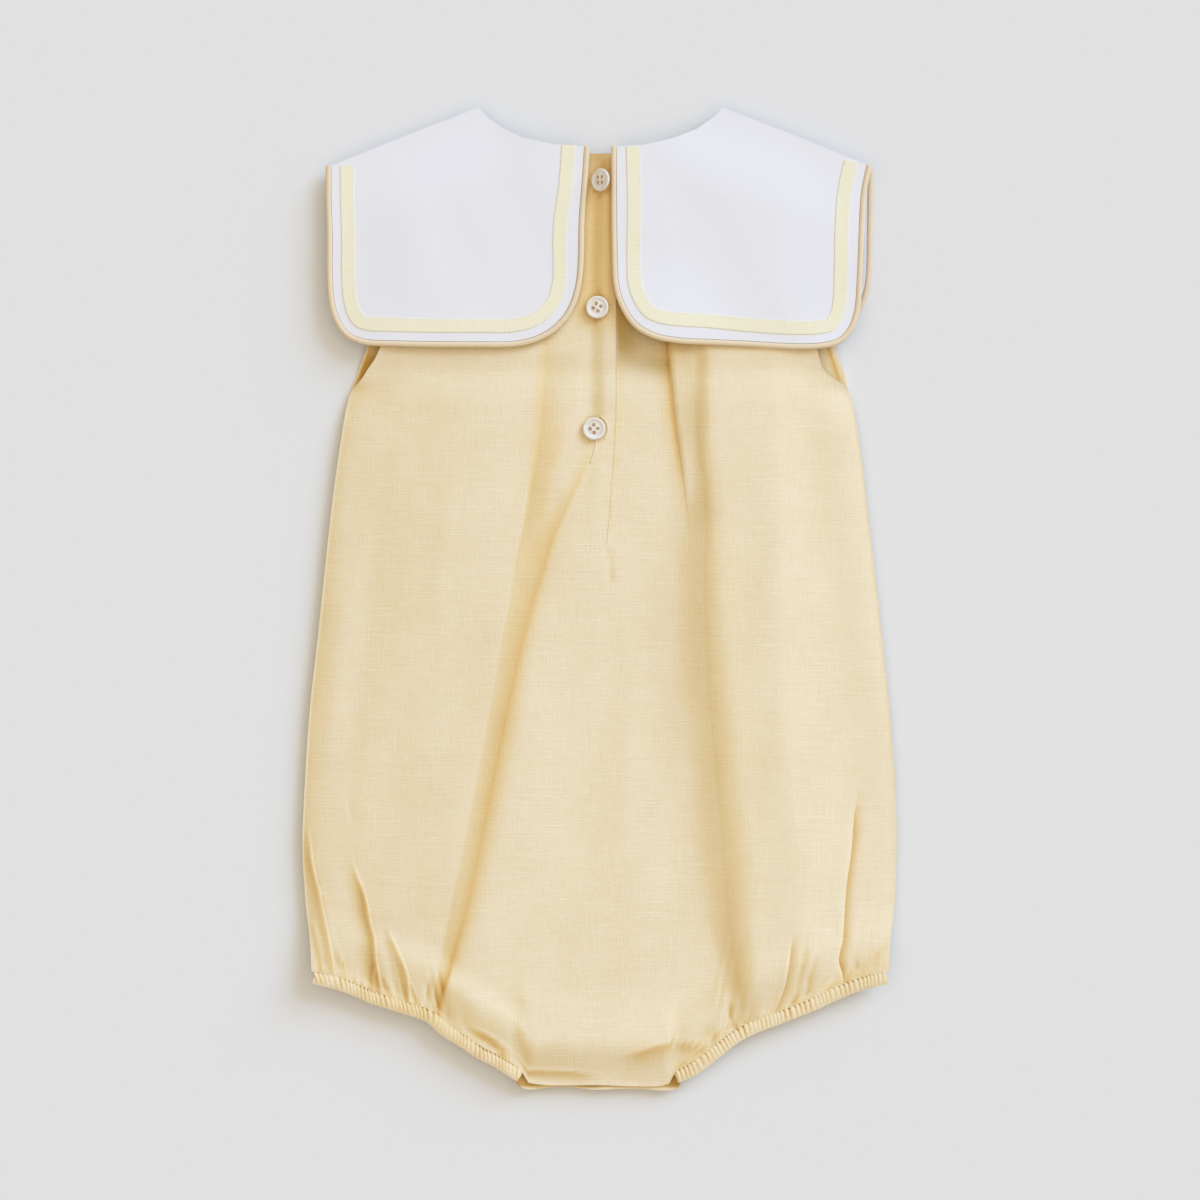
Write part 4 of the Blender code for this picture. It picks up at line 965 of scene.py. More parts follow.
def painted_shadow_amount(x, y):
    """Painted shadow where light is blocked: beneath the right wing, beside the step and folds.
    """
    past_slit = x - FOLD["slit"](y)
    past_tuck = x - FOLD["right_tuck"](y)
    shadow_edge = WING_SHADOW_START[1] - WING_SHADOW_SLANT * (x - WING_SHADOW_START[0])
    under_wing = 0.8 * rise(y - shadow_edge, -8, 16) + 0.1 * rise(y, 94, 20)
    under_wing = under_wing - 0.45 * rise(y, 112, 8) * rise(x, 12, 10)
    in_strip = rise(past_slit, 0, 0.8) * fall(past_tuck, 0, 1.2)
    under_wing = under_wing * in_strip * fall(y, 150, 16)
    beside_slit = 0.16 * bell(past_slit + 8, 4) * rise(y, 75, 15)
    beside_tuck = 0.16 * rise(past_tuck, 0, 0.8) * fall(past_tuck, 14, 6) * rise(y, 55, 30)
    past_step = x - FOLD["step_core"](y)
    step = 0.75 * SHADE["step"](y) * wedge(past_step, 1.15 * SHADE["step_left"](y), 10)
    # Painted shadow down the left side, in the lower left corner and near the right edge
    from_left, from_right = x - EDGE["back_left"](y), EDGE["back_right"](y) - x
    left_corner = 0.07 * fall(y, -140, 15) * fall(x, -84, 14) * rise(y, -192, 8)
    right_side = 0.07 * near(from_right, 20) * near(np.abs(y + 90), 60)
    left_side = 0.035 * fall(x, -35, 50) + 0.03 * near(from_left, 30)
    return (under_wing + beside_slit + beside_tuck + step + 0.2 * painted_free_fold_shade(x, y)
            + left_side + left_corner + right_side)


def painted_fold_shade(x, y):
    """Painted shade in the left valley, beside the pleats, along the step and at the free folds.
    """
    size = {name: curve(y) for name, curve in SHADE.items()}
    past_pleat = x - FOLD["left_pleat"](y)
    past_core = x - FOLD["left_core"](y)
    core = size["core"] * wedge(past_core, size["core_left"], size["core_right"], CORE_POWERS)
    core = core * smooth(past_pleat / 1.5 + 0.3)
    beside = size["beside"] * rise(past_pleat, 0, 1.0)
    beside = beside * (1 - rise(past_pleat, size["beside_reach"], 6))
    beside = beside + 0.9 * glow(past_pleat - 0.5, 0.9) * rise(y, 40, 40)
    past_step = x - FOLD["step_core"](y)
    step = size["step"] * wedge(past_step, size["step_left"], 1.2 * size["step_right"],
                                STEP_POWERS)
    step = step * np.where(past_step < 0, STEP_LEFT_SHARE, 1)
    step = step + 0.05 * glow(past_step, 0.9) * fall(y, 90, 20)
    before_tuck = FOLD["right_tuck"](y) - x
    tuck = size["tuck"] * glow(np.maximum(0, before_tuck - 1.5), 1.9)
    tuck = tuck * rise(before_tuck, 0, 1.2)
    return core + beside + step + tuck + 0.75 * painted_free_fold_shade(x, y) + hem_gathers(x, y)[1]


# ---------------------------------------------------------------- materials

def fill(tree, socket, value):
    """Links a socket to another one, or sets it to a plain value; None leaves it."""
    if isinstance(value, bpy.types.NodeSocket):
        tree.links.new(value, socket)
    elif value is not None:
        socket.default_value = value


def put(tree, kind, *inputs, **settings):
    """A node whose inputs, in order, are sockets to link or plain values; None leaves one."""
    node = tree.nodes.new(kind)
    for key, value in settings.items():
        setattr(node, key, value)
    for socket, value in zip(node.inputs, inputs):
        fill(tree, socket, value)
    return node


def sums(tree, operation, first, second=None, third=None):
    return put(tree, "ShaderNodeMath", first, second, third, operation=operation).outputs[0]


def ramp(tree, value, low, high, start=0.0, end=1.0):
    return put(tree, "ShaderNodeMapRange", value, low, high, start, end).outputs[0]


def blend_colours(tree, share, first, second, blend_type="MIX"):
    node = tree.nodes.new("ShaderNodeMix")
    node.data_type = "RGBA"
    node.blend_type = blend_type
    for index, value in ((0, share), (6, first), (7, second)):
        fill(tree, node.inputs[index], value)
    return node.outputs[2]


def new_group(name, inputs, outputs):
    group = bpy.data.node_groups.new(name, "ShaderNodeTree")
    kinds = {"colour": "NodeSocketColor", "number": "NodeSocketFloat"}
    for socket_name, kind, value in inputs:
        socket = group.interface.new_socket(socket_name, in_out="INPUT", socket_type=kinds[kind])
        socket.default_value = value
    for socket_name, kind in outputs:
        group.interface.new_socket(socket_name, in_out="OUTPUT", socket_type=kinds[kind])
    return group, group.nodes.new("NodeGroupInput"), group.nodes.new("NodeGroupOutput")


def flat_coordinates(tree):
    """Millimetres across and along the cloth, from its own UV map."""
    uv = put(tree, "ShaderNodeUVMap", uv_map="cloth").outputs[0]
    parts = put(tree, "ShaderNodeSeparateXYZ", uv)
    return (sums(tree, "MULTIPLY", parts.outputs[0], 1000.0),
            sums(tree, "MULTIPLY", parts.outputs[1], 1000.0))


def stretched_noise(tree, across_mm, along_mm, width, height, shift, detail=2.0):
    """Noise whose grains are width by height millimetres on the cloth."""
    place = put(tree, "ShaderNodeCombineXYZ", sums(tree, "DIVIDE", across_mm, width),
                sums(tree, "DIVIDE", along_mm, height), shift).outputs[0]
    return put(tree, "ShaderNodeTexNoise", place, None, 1.0, detail, 0.5).outputs[0]


def weave_group():
    """Plain weave of uneven threads: long thick ones and thin gaps both across and along."""
    white, grey = (1, 1, 1, 1), (0.5, 0.5, 0.5, 1)
    group, source, result = new_group(
        "Slub weave",
        [("Colour", "colour", grey), ("Light thread", "colour", white),
         ("Dark thread", "colour", grey), ("Thread pitch", "number", 0.45),
         ("Slubs", "number", 1.0), ("Cloudiness", "number", 0.3)],
        [("Colour", "colour"), ("Height", "number")])
    colour, light, dark, pitch, slubs, cloud = source.outputs[:6]
    u, v = flat_coordinates(group)
    turn = sums(group, "DIVIDE", 2 * math.pi, pitch)
    weft = sums(group, "SINE", sums(group, "MULTIPLY", v, turn))
    warp = sums(group, "SINE", sums(group, "MULTIPLY", u, turn))
    crossing = sums(group, "MULTIPLY", weft, warp)

    def grains(grain, *span):
        noise = stretched_noise(group, u, v, grain.width, grain.height, grain.shift)
        return ramp(group, noise, grain.low, grain.high, *span)

    def plus(total, value, share):
        return sums(group, "MULTIPLY_ADD", value, share, total)

    def threads(along_weft, along_warp, warp_share):
        return plus(grains(along_weft), grains(along_warp), warp_share)

    long_slubs, short_slubs = threads(*LONG_SLUBS), threads(*SHORT_SLUBS)
    in_patches = sums(group, "MULTIPLY", short_slubs, grains(SLUB_PATCHES))
    slub = plus(long_slubs, in_patches, SHORT_SLUB_SHARE)
    slub = sums(group, "MULTIPLY", slub, slubs)
    gaps = plus(threads(*LONG_GAPS), threads(*PORES), PORE_SHARE)
    thin = sums(group, "MULTIPLY", gaps, slubs)
    clouds = grains(CLOUDS, -0.5, 0.5)
    shade = plus(CROSSING_SHADE, crossing, -CROSSING_SHADE)
    shade = plus(plus(shade, thin, GAP_SHADE), clouds, cloud)
    tinted = blend_colours(group, shade, colour, dark)
    tinted = blend_colours(group, sums(group, "MULTIPLY", slub, SLUB_TINT), tinted, light)
    height = plus(WEAVE_LEVEL, crossing, CROSSING_RELIEF)
    height = plus(plus(height, slub, SLUB_RELIEF), thin, -GAP_RELIEF)
    group.links.new(tinted, result.inputs[0])
    group.links.new(height, result.inputs[1])
    return group


def shader_material(name, roughness, sheen=0.0):
    material = bpy.data.materials.new(name)
    material.use_nodes = True
    shader = material.node_tree.nodes["Principled BSDF"]
    shader.inputs["Roughness"].default_value = roughness
    shader.inputs["Sheen Weight"].default_value = sheen
    shader.inputs["Sheen Roughness"].default_value = 0.5
    shader.inputs["Specular IOR Level"].default_value = 0.25
    return material, material.node_tree, shader


def add_bump(tree, shader, relief, height, strength=1.0):
    """Bump of a height, from 0 to 1, whose relief is in millimetres."""
    bump = put(tree, "ShaderNodeBump", strength, relief * MM, None, height)
    tree.links.new(bump.outputs[0], shader.inputs["Normal"])


def woven_material(cloth, group, colours):
    """Woven cloth, with the tints of painted shade and painted shadow that it takes on as the
    piece's attributes for them grow to 1.
    """
    material, tree, shader = shader_material(cloth.name, cloth.roughness, cloth.sheen)
    weave = tree.nodes.new("ShaderNodeGroup")
    weave.node_tree = group
    settings = [getattr(colours, name) for name in cloth.colours]
    for socket, value in zip(weave.inputs, settings + [cloth.pitch, cloth.slubs, cloth.cloud]):
        socket.default_value = value
    coloured = weave.outputs[0]
    if cloth.folds:
        # Painted shade: a ramp of golden tints by the piece's painted shade; painted shadow: one
        # plainer tint
        painted_shade_tints = [getattr(colours, name) for name in cloth.folds]
        warmth = put(tree, "ShaderNodeAttribute", attribute_name="warmth").outputs["Fac"]
        tints = put(tree, "ShaderNodeValToRGB", warmth)
        stops = tints.color_ramp.elements
        stops[0].color, stops[1].color = (1, 1, 1, 1), painted_shade_tints[-1]
        for place, tint in zip(TINT_PLACES, painted_shade_tints):
            stops.new(place).color = tint
        coloured = blend_colours(tree, 1.0, coloured, tints.outputs[0], "MULTIPLY")
        dusk = put(tree, "ShaderNodeAttribute", attribute_name="dusk").outputs["Fac"]
        coloured = blend_colours(tree, dusk, coloured, getattr(colours, cloth.dusk), "MULTIPLY")
    tree.links.new(coloured, shader.inputs["Base Color"])
    add_bump(tree, shader, cloth.relief, weave.outputs[1])
    return material


def ribbon_material(name, colour, light):
    """Grosgrain: fine ribs across the ribbon and a plain selvedge along both edges."""
    material, tree, shader = shader_material(name, 0.62, 0.2)
    u, v = flat_coordinates(tree)
    rib = sums(tree, "SINE", sums(tree, "MULTIPLY", u, 2 * math.pi / RIBBON_RIB_PITCH))
    body = ramp(tree, sums(tree, "ABSOLUTE", v), *RIBBON_SELVEDGE)
    rib = sums(tree, "MULTIPLY", rib, body)
    uneven = stretched_noise(tree, u, v, 1.3, 9, 2.0)
    share = sums(tree, "MULTIPLY_ADD", rib, 0.32, sums(tree, "MULTIPLY", uneven, 0.9))
    tree.links.new(blend_colours(tree, share, colour, light), shader.inputs["Base Color"])
    height = sums(tree, "MULTIPLY_ADD", rib, 0.5, sums(tree, "MULTIPLY", body, 0.6))
    add_bump(tree, shader, 0.06, height)
    return material


def button_material(name, colour, dark):
    """Off-white resin with a faint swirl."""
    material, tree, shader = shader_material(name, 0.38)
    place = put(tree, "ShaderNodeTexCoord").outputs["Object"]
    swirl = put(tree, "ShaderNodeTexNoise", place, None, 420.0, 3.0, 0.6, None, 1.2).outputs[0]
    share = ramp(tree, swirl, 0.35, 0.75)
    tree.links.new(blend_colours(tree, share, colour, dark), shader.inputs["Base Color"])
    grain = put(tree, "ShaderNodeTexNoise", place, None, 2600.0, 2.0).outputs[0]
    add_bump(tree, shader, 0.03, grain, 0.4)
    return material


def floor_material(name, colour):
    """Matt studio paper."""
    material, tree, shader = shader_material(name, 0.95)
    shader.inputs["Specular IOR Level"].default_value = 0.0
    place = put(tree, "ShaderNodeTexCoord").outputs["Object"]
    fibre = put(tree, "ShaderNodeTexNoise", place, None, 900.0, 3.0, 0.6).outputs[0]
    share = ramp(tree, fibre, 0.3, 0.7, 0.0, 0.02)
    darker = tuple(0.9 * part for part in colour[:3]) + (1,)
    tree.links.new(blend_colours(tree, share, colour, darker), shader.inputs["Base Color"])
    return material


def finish_library(context):
    """The materials of the romper, made once from the scene's colours."""
    colours = context.scene.romper_colours
    if WOVEN[0].name not in bpy.data.materials:
        group = weave_group()
        for cloth in WOVEN:
            woven_material(cloth, group, colours)
        ribbon_material("Grosgrain ribbon", colours.ribbon, colours.ribbon_light)
        button_material("Button resin", colours.button, colours.button_dark)


# ---------------------------------------------------------------- making pieces

def mesh_from(name, bm):
    """A mesh made from a bmesh, which is freed."""
    mesh = bpy.data.meshes.new(name)
    bm.to_mesh(mesh)
    bm.free()
    return mesh


def add_object(name, data):
    added = bpy.data.objects.new(name, data)
    bpy.context.scene.collection.objects.link(added)
    return added


def add_piece(name, mesh, finish, replaces=()):
    material, slot = finish
    piece = add_object(name, mesh)
    mesh.materials.append(bpy.data.materials[material])
    mesh.shade_smooth()
    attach(piece, "root")
    if replaces:
        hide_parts(*replaces)
    return piece


def grid_mesh(name, columns, rows, place, slit=None):
    """A grid whose points are set by place(column, row, side), with the cloth's UV map.

    place gives x, y, z and the flat coordinates of arrays of grid places, and may add their
    painted shade and painted shadow. Edges on the column slit[0] are cut open over the first
    slit[1] rows; side is then -1 or 1 there.
    """
    bm = bmesh.new()
    bmesh.ops.create_grid(bm, x_segments=columns, y_segments=rows, size=0.5)
    if slit is not None:
        def is_cut(vert):
            on_slit = abs((vert.co.x + 0.5) * columns - slit[0]) < 0.1
            return on_slit and (0.5 - vert.co.y) * rows < slit[1] + 0.1

        cut = [edge for edge in bm.edges if all(is_cut(vert) for vert in edge.verts)]
        bmesh.ops.split_edges(bm, edges=cut)
        for vert in bm.verts:
            if is_cut(vert) and (0.5 - vert.co.y) * rows < slit[1] - 0.1:
                middle = sum(face.calc_center_median().x for face in vert.link_faces)
                side = 1 if middle / len(vert.link_faces) > vert.co.x else -1
                vert.co.x += side * 0.2 / columns
    mesh = mesh_from(name, bm)
    spots = np.empty(len(mesh.vertices) * 3, np.float32)
    mesh.vertices.foreach_get("co", spots)
    spots = spots.reshape(-1, 3).astype(float)
    columns_at = (spots[:, 0] + 0.5) * columns
    column = np.rint(columns_at).astype(int)
    row = np.rint((0.5 - spots[:, 1]) * rows).astype(int)
    side = np.sign(np.round(columns_at - column, 2))
    x, y, z, u, v, *extra = place(column, row, side)
    mesh.vertices.foreach_set("co", (MM * np.stack([x, y, z], axis=1)).ravel())
    corners = np.empty(len(mesh.loops), np.int32)
    mesh.loops.foreach_get("vertex_index", corners)
    flat = (MM * np.stack([u, v], axis=1))[corners]
    mesh.uv_layers.new(name="cloth").data.foreach_set("uv", flat.astype(np.float32).ravel())
    # The painted shade and painted shadow, kept as attributes of the points
    for attribute, most, values in zip(("warmth", "dusk"), (DEEPEST_PAINTED_SHADE, 1), extra):
        values = np.clip(values / most, 0, 1).astype(np.float32)
        mesh.attributes.new(attribute, "FLOAT", "POINT").data.foreach_set("value", values)
    mesh.update()
    return mesh


def add_wall(piece, wall, grows=1, bevel=0.22):
    """Gives a sheet its thickness, to the side that its normals point to or to the other."""
    solid = piece.modifiers.new("wall", "SOLIDIFY")
    solid.thickness = wall * MM
    solid.offset = grows
    soft = piece.modifiers.new("edge", "BEVEL")
    soft.width = bevel * MM
    soft.segments = 2
    soft.limit_method = "ANGLE"
    soft.angle_limit = math.radians(55)
    soft.harden_normals = True
    return piece


def add_cloth(name, columns, rows, place, finish, node, wall, **wall_settings):
    """A sheet of cloth whose grid is set by place, in the place of a node of the same form."""
    mesh = grid_mesh(name, columns, rows, place)
    return add_wall(add_piece(name, mesh, finish, [node]), wall, **wall_settings)


def tube_mesh(name, path, width, height, sides=12):
    """A closed tube of elliptical section along a path of points."""
    path = np.asarray(path, float)
    along = directions(path)
    level = np.stack([-along[:, 1], along[:, 0], np.zeros(len(path))], axis=1)
    level /= np.maximum(1e-9, np.linalg.norm(level, axis=1))[:, None]
    upright = np.cross(along, level)
    lengths = line_lengths(path)
    girth = math.pi * (width + height) / 2

    def place(column, row, _):
        angle = -2 * math.pi * row / sides
        spot = (path[column] + level[column] * (np.cos(angle) * width / 2)[:, None]
                + upright[column] * (np.sin(angle) * height / 2)[:, None])
        return spot[:, 0], spot[:, 1], spot[:, 2], lengths[column], girth * row / sides

    mesh = grid_mesh(name, len(path) - 1, sides, place)
    bm = bmesh.new()
    bm.from_mesh(mesh)
    bmesh.ops.remove_doubles(bm, verts=bm.verts, dist=0.002 * MM)
    rim = [edge for edge in bm.edges if edge.is_boundary]
    bmesh.ops.holes_fill(bm, edges=rim, sides=0)
    bmesh.ops.recalc_face_normals(bm, faces=bm.faces)
    bm.to_mesh(mesh)
    bm.free()
    return mesh


def stitch_mesh(name, runs, length, radius):
    """Short stitches: one flattened bead of thread at each centre, along its direction."""
    bm = bmesh.new()
    uv_layer = bm.loops.layers.uv.new("cloth")
    for centre, along in runs:
        along = Vector(along).normalized()
        turn = along.to_track_quat("X", "Z").to_matrix().to_4x4()
        size = Matrix.Diagonal((length / 2 * MM, radius * MM, radius * 0.8 * MM, 1))
        matrix = Matrix.Translation(MM * Vector(centre)) @ turn @ size
        bmesh.ops.create_uvsphere(bm, u_segments=6, v_segments=4, radius=1, matrix=matrix)
    for face in bm.faces:
        for loop in face.loops:
            loop[uv_layer].uv = (loop.vert.co.x, loop.vert.co.y)
    return mesh_from(name, bm)


def stitches_along(path, pitch):
    """Centres and directions of stitches on a path of points."""
    path = np.asarray(path, float)
    total = line_lengths(path)[-1]
    count = max(2, int(round(total / pitch)))
    shares = (np.arange(count) + 0.5) / count
    spots = at_shares(path, shares)
    ahead = at_shares(path, np.minimum(1, shares + 0.3 / total))
    behind = at_shares(path, np.maximum(0, shares - 0.3 / total))
    return list(zip(spots, ahead - behind))


def lifted(line, height):
    """Points of a flat line at the heights that a function of x and y gives."""
    return np.column_stack([line, height(line[:, 0], line[:, 1])])


def body_grid(keys, places, top_line, bottom_line, rows):
    """Points of a body panel as x and y arrays, following its lines from neck to hem.

    The ends of a slanted line come from a first guess in rounds that soon settle.
    """
    rows = np.asarray(rows)
    xs, ys = [], []
    for place in places:
        index = min(int(place), len(keys) - 2)

        def line_x(y, index=index, share=place - index):
            return mix(keys[index](y), keys[index + 1](y), share)

        top, bottom = 200.0, -200.0
        for _ in range(GRID_END_ROUNDS):
            top = across(top_line, line_x(top))
            bottom = across(bottom_line, line_x(bottom))
        y = mix(top, bottom, rows)
        xs.append(line_x(y))
        ys.append(y)
    return np.array(xs), np.array(ys)


def key_places(columns_between):
    """Column places, counted in key lines, with so many columns between each pair."""
    places = []
    for index, count in enumerate(columns_between):
        places += [index + step / count for step in range(count)]
    return places + [len(columns_between)]


def coons(top, bottom, left, right, columns, shares):
    """Points of a four-sided patch between boundary lines; left and right run downwards."""
    top, bottom = resample(top, columns), resample(bottom, columns)
    left, right = at_shares(left, shares), at_shares(right, shares)
    u = np.linspace(0, 1, columns + 1)[:, None, None]
    v = np.asarray(shares)[None, :, None]
    ruled = mix(top[:, None], bottom[:, None], v) + mix(left[None], right[None], u)
    corners = mix(mix(top[0], top[-1], u), mix(bottom[0], bottom[-1], u), v)
    return ruled - corners


def collar_grid(outline, top, corners, columns, rows):
    """Points of a collar piece inside its piping."""
    edge = offset_line(smooth_line(outline), PIPING_WIDTH + COLLAR_EDGE_GAP)
    left, bottom, right = (
        at_shares(edge, np.linspace(start, end, steps))
        for start, end, steps in ((0, corners[0], 60), (*corners, 120), (corners[1], 1, 60)))
    head = np.vstack([left[:1], np.array(top[1:-1], float), right[-1:]])
    shares = 1 - (1 - np.linspace(0, 1, rows + 1)) ** COLLAR_ROW_EASE
    return coons(head, bottom, left, right[::-1], columns, shares)


# ---------------------------------------------------------------- settings

def colour_property(name, description, default):
    return bpy.props.FloatVectorProperty(name=name, description=description, default=default,
                                         subtype="COLOR", size=4, min=0, max=1)


class RomperColours(bpy.types.PropertyGroup):
    """Colours of the cloths and trims"""
    linen: colour_property("Linen", "Ground colour of the linen", (0.899, 0.77, 0.552, 1))
    linen_light: colour_property("Linen slubs", "Thick threads of the linen",
                                 (0.93, 0.84, 0.67, 1))
    linen_dark: colour_property("Linen gaps", "Thin places in the linen", (0.74, 0.60, 0.32, 1))
    # Tints of painted shade and painted shadow, which multiply the linen's colour
    linen_shade: colour_property("Linen in shade", "Tint of the linen in shallow folds",
                                 (0.985, 0.935, 0.79, 1))
    linen_fold_shade: colour_property("Linen in folds", "Tint of the linen in folds",
                                 (0.935, 0.79, 0.505, 1))
    linen_deep_shade: colour_property("Linen in deep folds", "Tint of the linen in the deepest folds",
                                (0.71, 0.44, 0.12, 1))
    linen_dusk: colour_property("Linen in dusk", "Tint of the linen where light is blocked",
                                (0.60, 0.48, 0.22, 1))
    cotton: colour_property("Collar", "White cotton of the collar", (0.83, 0.825, 0.86, 1))
    cotton_dark: colour_property("Collar shade", "Gaps between the collar's threads",
                                 (0.74, 0.74, 0.80, 1))
    ribbon: colour_property("Ribbon", "Ground colour of the ribbon", (0.86, 0.81, 0.61, 1))
    ribbon_light: colour_property("Ribbon ribs", "Ribs of the ribbon", (0.90, 0.86, 0.67, 1))
    piping: colour_property("Piping", "Ground colour of the piping", (0.82, 0.68, 0.48, 1))
    piping_light: colour_property("Piping threads", "Light threads of the piping",
                                  (0.87, 0.76, 0.60, 1))
    piping_dark: colour_property("Piping gaps", "Gaps in the piping's weave",
                                 (0.70, 0.52, 0.32, 1))
    thread: colour_property("Thread", "Sewing thread", (0.95, 0.87, 0.70, 1))
    button: colour_property("Button", "Resin of the buttons", (0.85, 0.82, 0.78, 1))
    button_dark: colour_property("Button swirl", "Swirl in the buttons", (0.77, 0.70, 0.61, 1))
    button_thread: colour_property("Button thread", "Thread in the buttons' holes",
                                   (0.70, 0.47, 0.22, 1))
    floor: colour_property("Floor", "Paper that the romper lies on", (0.79, 0.79, 0.79, 1))


class RomperStage(bpy.types.PropertyGroup):
    """Camera and lights"""
    camera_height: bpy.props.FloatProperty(
        name="Camera height", description="Height of the camera above the surface",
        default=1.364, unit="LENGTH", min=0.3)
    lens: bpy.props.FloatProperty(
        name="Lens", description="Focal length in millimetres", default=85.0, min=10)
    sun_azimuth: bpy.props.FloatProperty(
        name="Light direction", description="Where the main light stands, from +X towards +Y",
        default=math.radians(42), subtype="ANGLE")
    sun_elevation: bpy.props.FloatProperty(
        name="Light elevation", description="Height of the main light above the surface",
        default=math.radians(26), subtype="ANGLE")
    sun_softness: bpy.props.FloatProperty(
        name="Light softness", description="Width of the main light as seen from the romper",
        default=math.radians(36), subtype="ANGLE")
    sun_strength: bpy.props.FloatProperty(
        name="Light strength", description="Strength of the main light", default=2.29, min=0)
    overhead_strength: bpy.props.FloatProperty(
        name="Overhead strength", description="Strength of the broad light from above",
        default=1.115, min=0)
    fill_strength: bpy.props.FloatProperty(
        name="Fill strength", description="Strength of the light from all round", default=0.34,
        min=0)


class RomperSizes(bpy.types.PropertyGroup):
    """Sizes of the pieces"""
    linen_wall: bpy.props.FloatProperty(
        name="Linen wall", description="Thickness of a linen panel with its turnings",
        default=LINEN_WALL * MM, unit="LENGTH", min=0)
    collar_wall: bpy.props.FloatProperty(
        name="Collar wall", description="Thickness of the doubled collar",
        default=COLLAR_WALL * MM, unit="LENGTH", min=0)
    casing_ribs: bpy.props.IntProperty(
        name="Casing ribs", description="Gathers on each leg's elastic casing", default=50, min=4)
    stitch_pitch: bpy.props.FloatProperty(
        name="Stitch length", description="Distance between stitches", default=2.3 * MM,
        unit="LENGTH", min=0.0005)


# ---------------------------------------------------------------- pieces

class ROMPER_OT_front(bpy.types.Operator):
    """Makes the front panel, the crotch band and the front halves of the leg casings"""
    bl_idname = "romper.front"
    bl_label = "Front of the romper"

    def execute(self, context):
        finish_library(context)
        wall = context.scene.romper_sizes.linen_wall / MM
        front = self.add_panel(wall)
        band = self.add_crotch_band(wall)
        casings = [self.add_casing(hem) for hem in HEMS]
        return {"FINISHED"}

    def add_panel(self, wall):
        """The front panel, with short columns beside the corners of the crotch."""
        def upright(x):
            return lambda y: x + 0 * y

        keys = [EDGE["front_left"], upright(CROTCH_LEFT - CROTCH_TURN), upright(CROTCH_LEFT),
                upright(CROTCH_RIGHT), upright(CROTCH_RIGHT + CROTCH_TURN), EDGE["front_right"]]
        places = key_places([44, 2, 22, 2, 44])
        bodice = 0.35
        rows = np.concatenate([np.linspace(0, bodice, 70)[:-1], np.linspace(bodice, 1, 80)])
        xs, ys = body_grid(keys, places, FRONT_TOP_LINE, FRONT_BOTTOM_LINE, rows)

        def place(column, row, _):
            x, y = xs[column, row], ys[column, row]
            # Painted shade on the strips of the front that show at the armholes
            return x, y, front_top_z(x, y), x, y, painted_armhole_shade(x, y)

        return add_cloth("linen_front", len(places) - 1, len(rows) - 1, place, LINEN,
                         "front_panel", wall, grows=-1)

    def add_crotch_band(self, wall):
        """The band below the back's lower edge, wavy where it folds over."""
        columns, rows = 80, 18
        left, right = np.array(CROTCH_BAND_SIDE_LEFT), np.array(CROTCH_BAND_SIDE_RIGHT)
        points = coons(np.array([left[0], right[0]]), smooth_line(CROTCH_BAND_EDGE), left, right,
                       columns, np.linspace(0, 1, rows + 1))

        def place(column, row, _):
            x, y = points[column, row, 0], points[column, row, 1]
            wave = 0.35 * np.sin(x / 3.7) + 0.25 * np.sin(x / 2.1 + 1)
            z = hem_lift(x, y) + 0.2 + fall(y, -226, 8) * (0.3 + wave * 0.6)
            above_edge = y - 0.4 * wave
            # Painted shade and painted shadow over the band's upper part, in the slot below the
            # back's edge
            warmth = 1.3 * rise(above_edge, -234.6, 1.6)
            vary = 0.55 + 0.4 * np.sin(x / 6.5 + 2)
            return x, y, z, x, y, warmth, 0.9 * rise(above_edge, -234.4, 1.0) * vary

        return add_cloth("linen_crotch_band", columns, rows, place, LINEN, "crotch_band_front",
                         wall)

    def add_casing(self, hem):
        """The plain front half of a leg casing."""
        columns, rows = 90, 6
        middle = resample(offset_line(hem.line, CASING_WIDTH / 2), columns)
        inner, outer, runs = strip_edges(middle, CASING_WIDTH)

        def place(column, row, _):
            share = row / rows
            point = mix(inner[column], outer[column], share[:, None])
            x, y = point[:, 0], point[:, 1]
            wave = CASING_FRONT_WAVE * np.sin(runs[column] * 2.9) * np.abs(2 * share - 1)
            z = CASING_FRONT_LIFT + wave + casing_lift(x, y)
            return x, y, z, runs[column], share * CASING_WIDTH

        return add_cloth(f"linen_casing_{hem.side}_front", columns, rows, place, LINEN,
                         f"leg_casing_{hem.side}_front", 1.3)


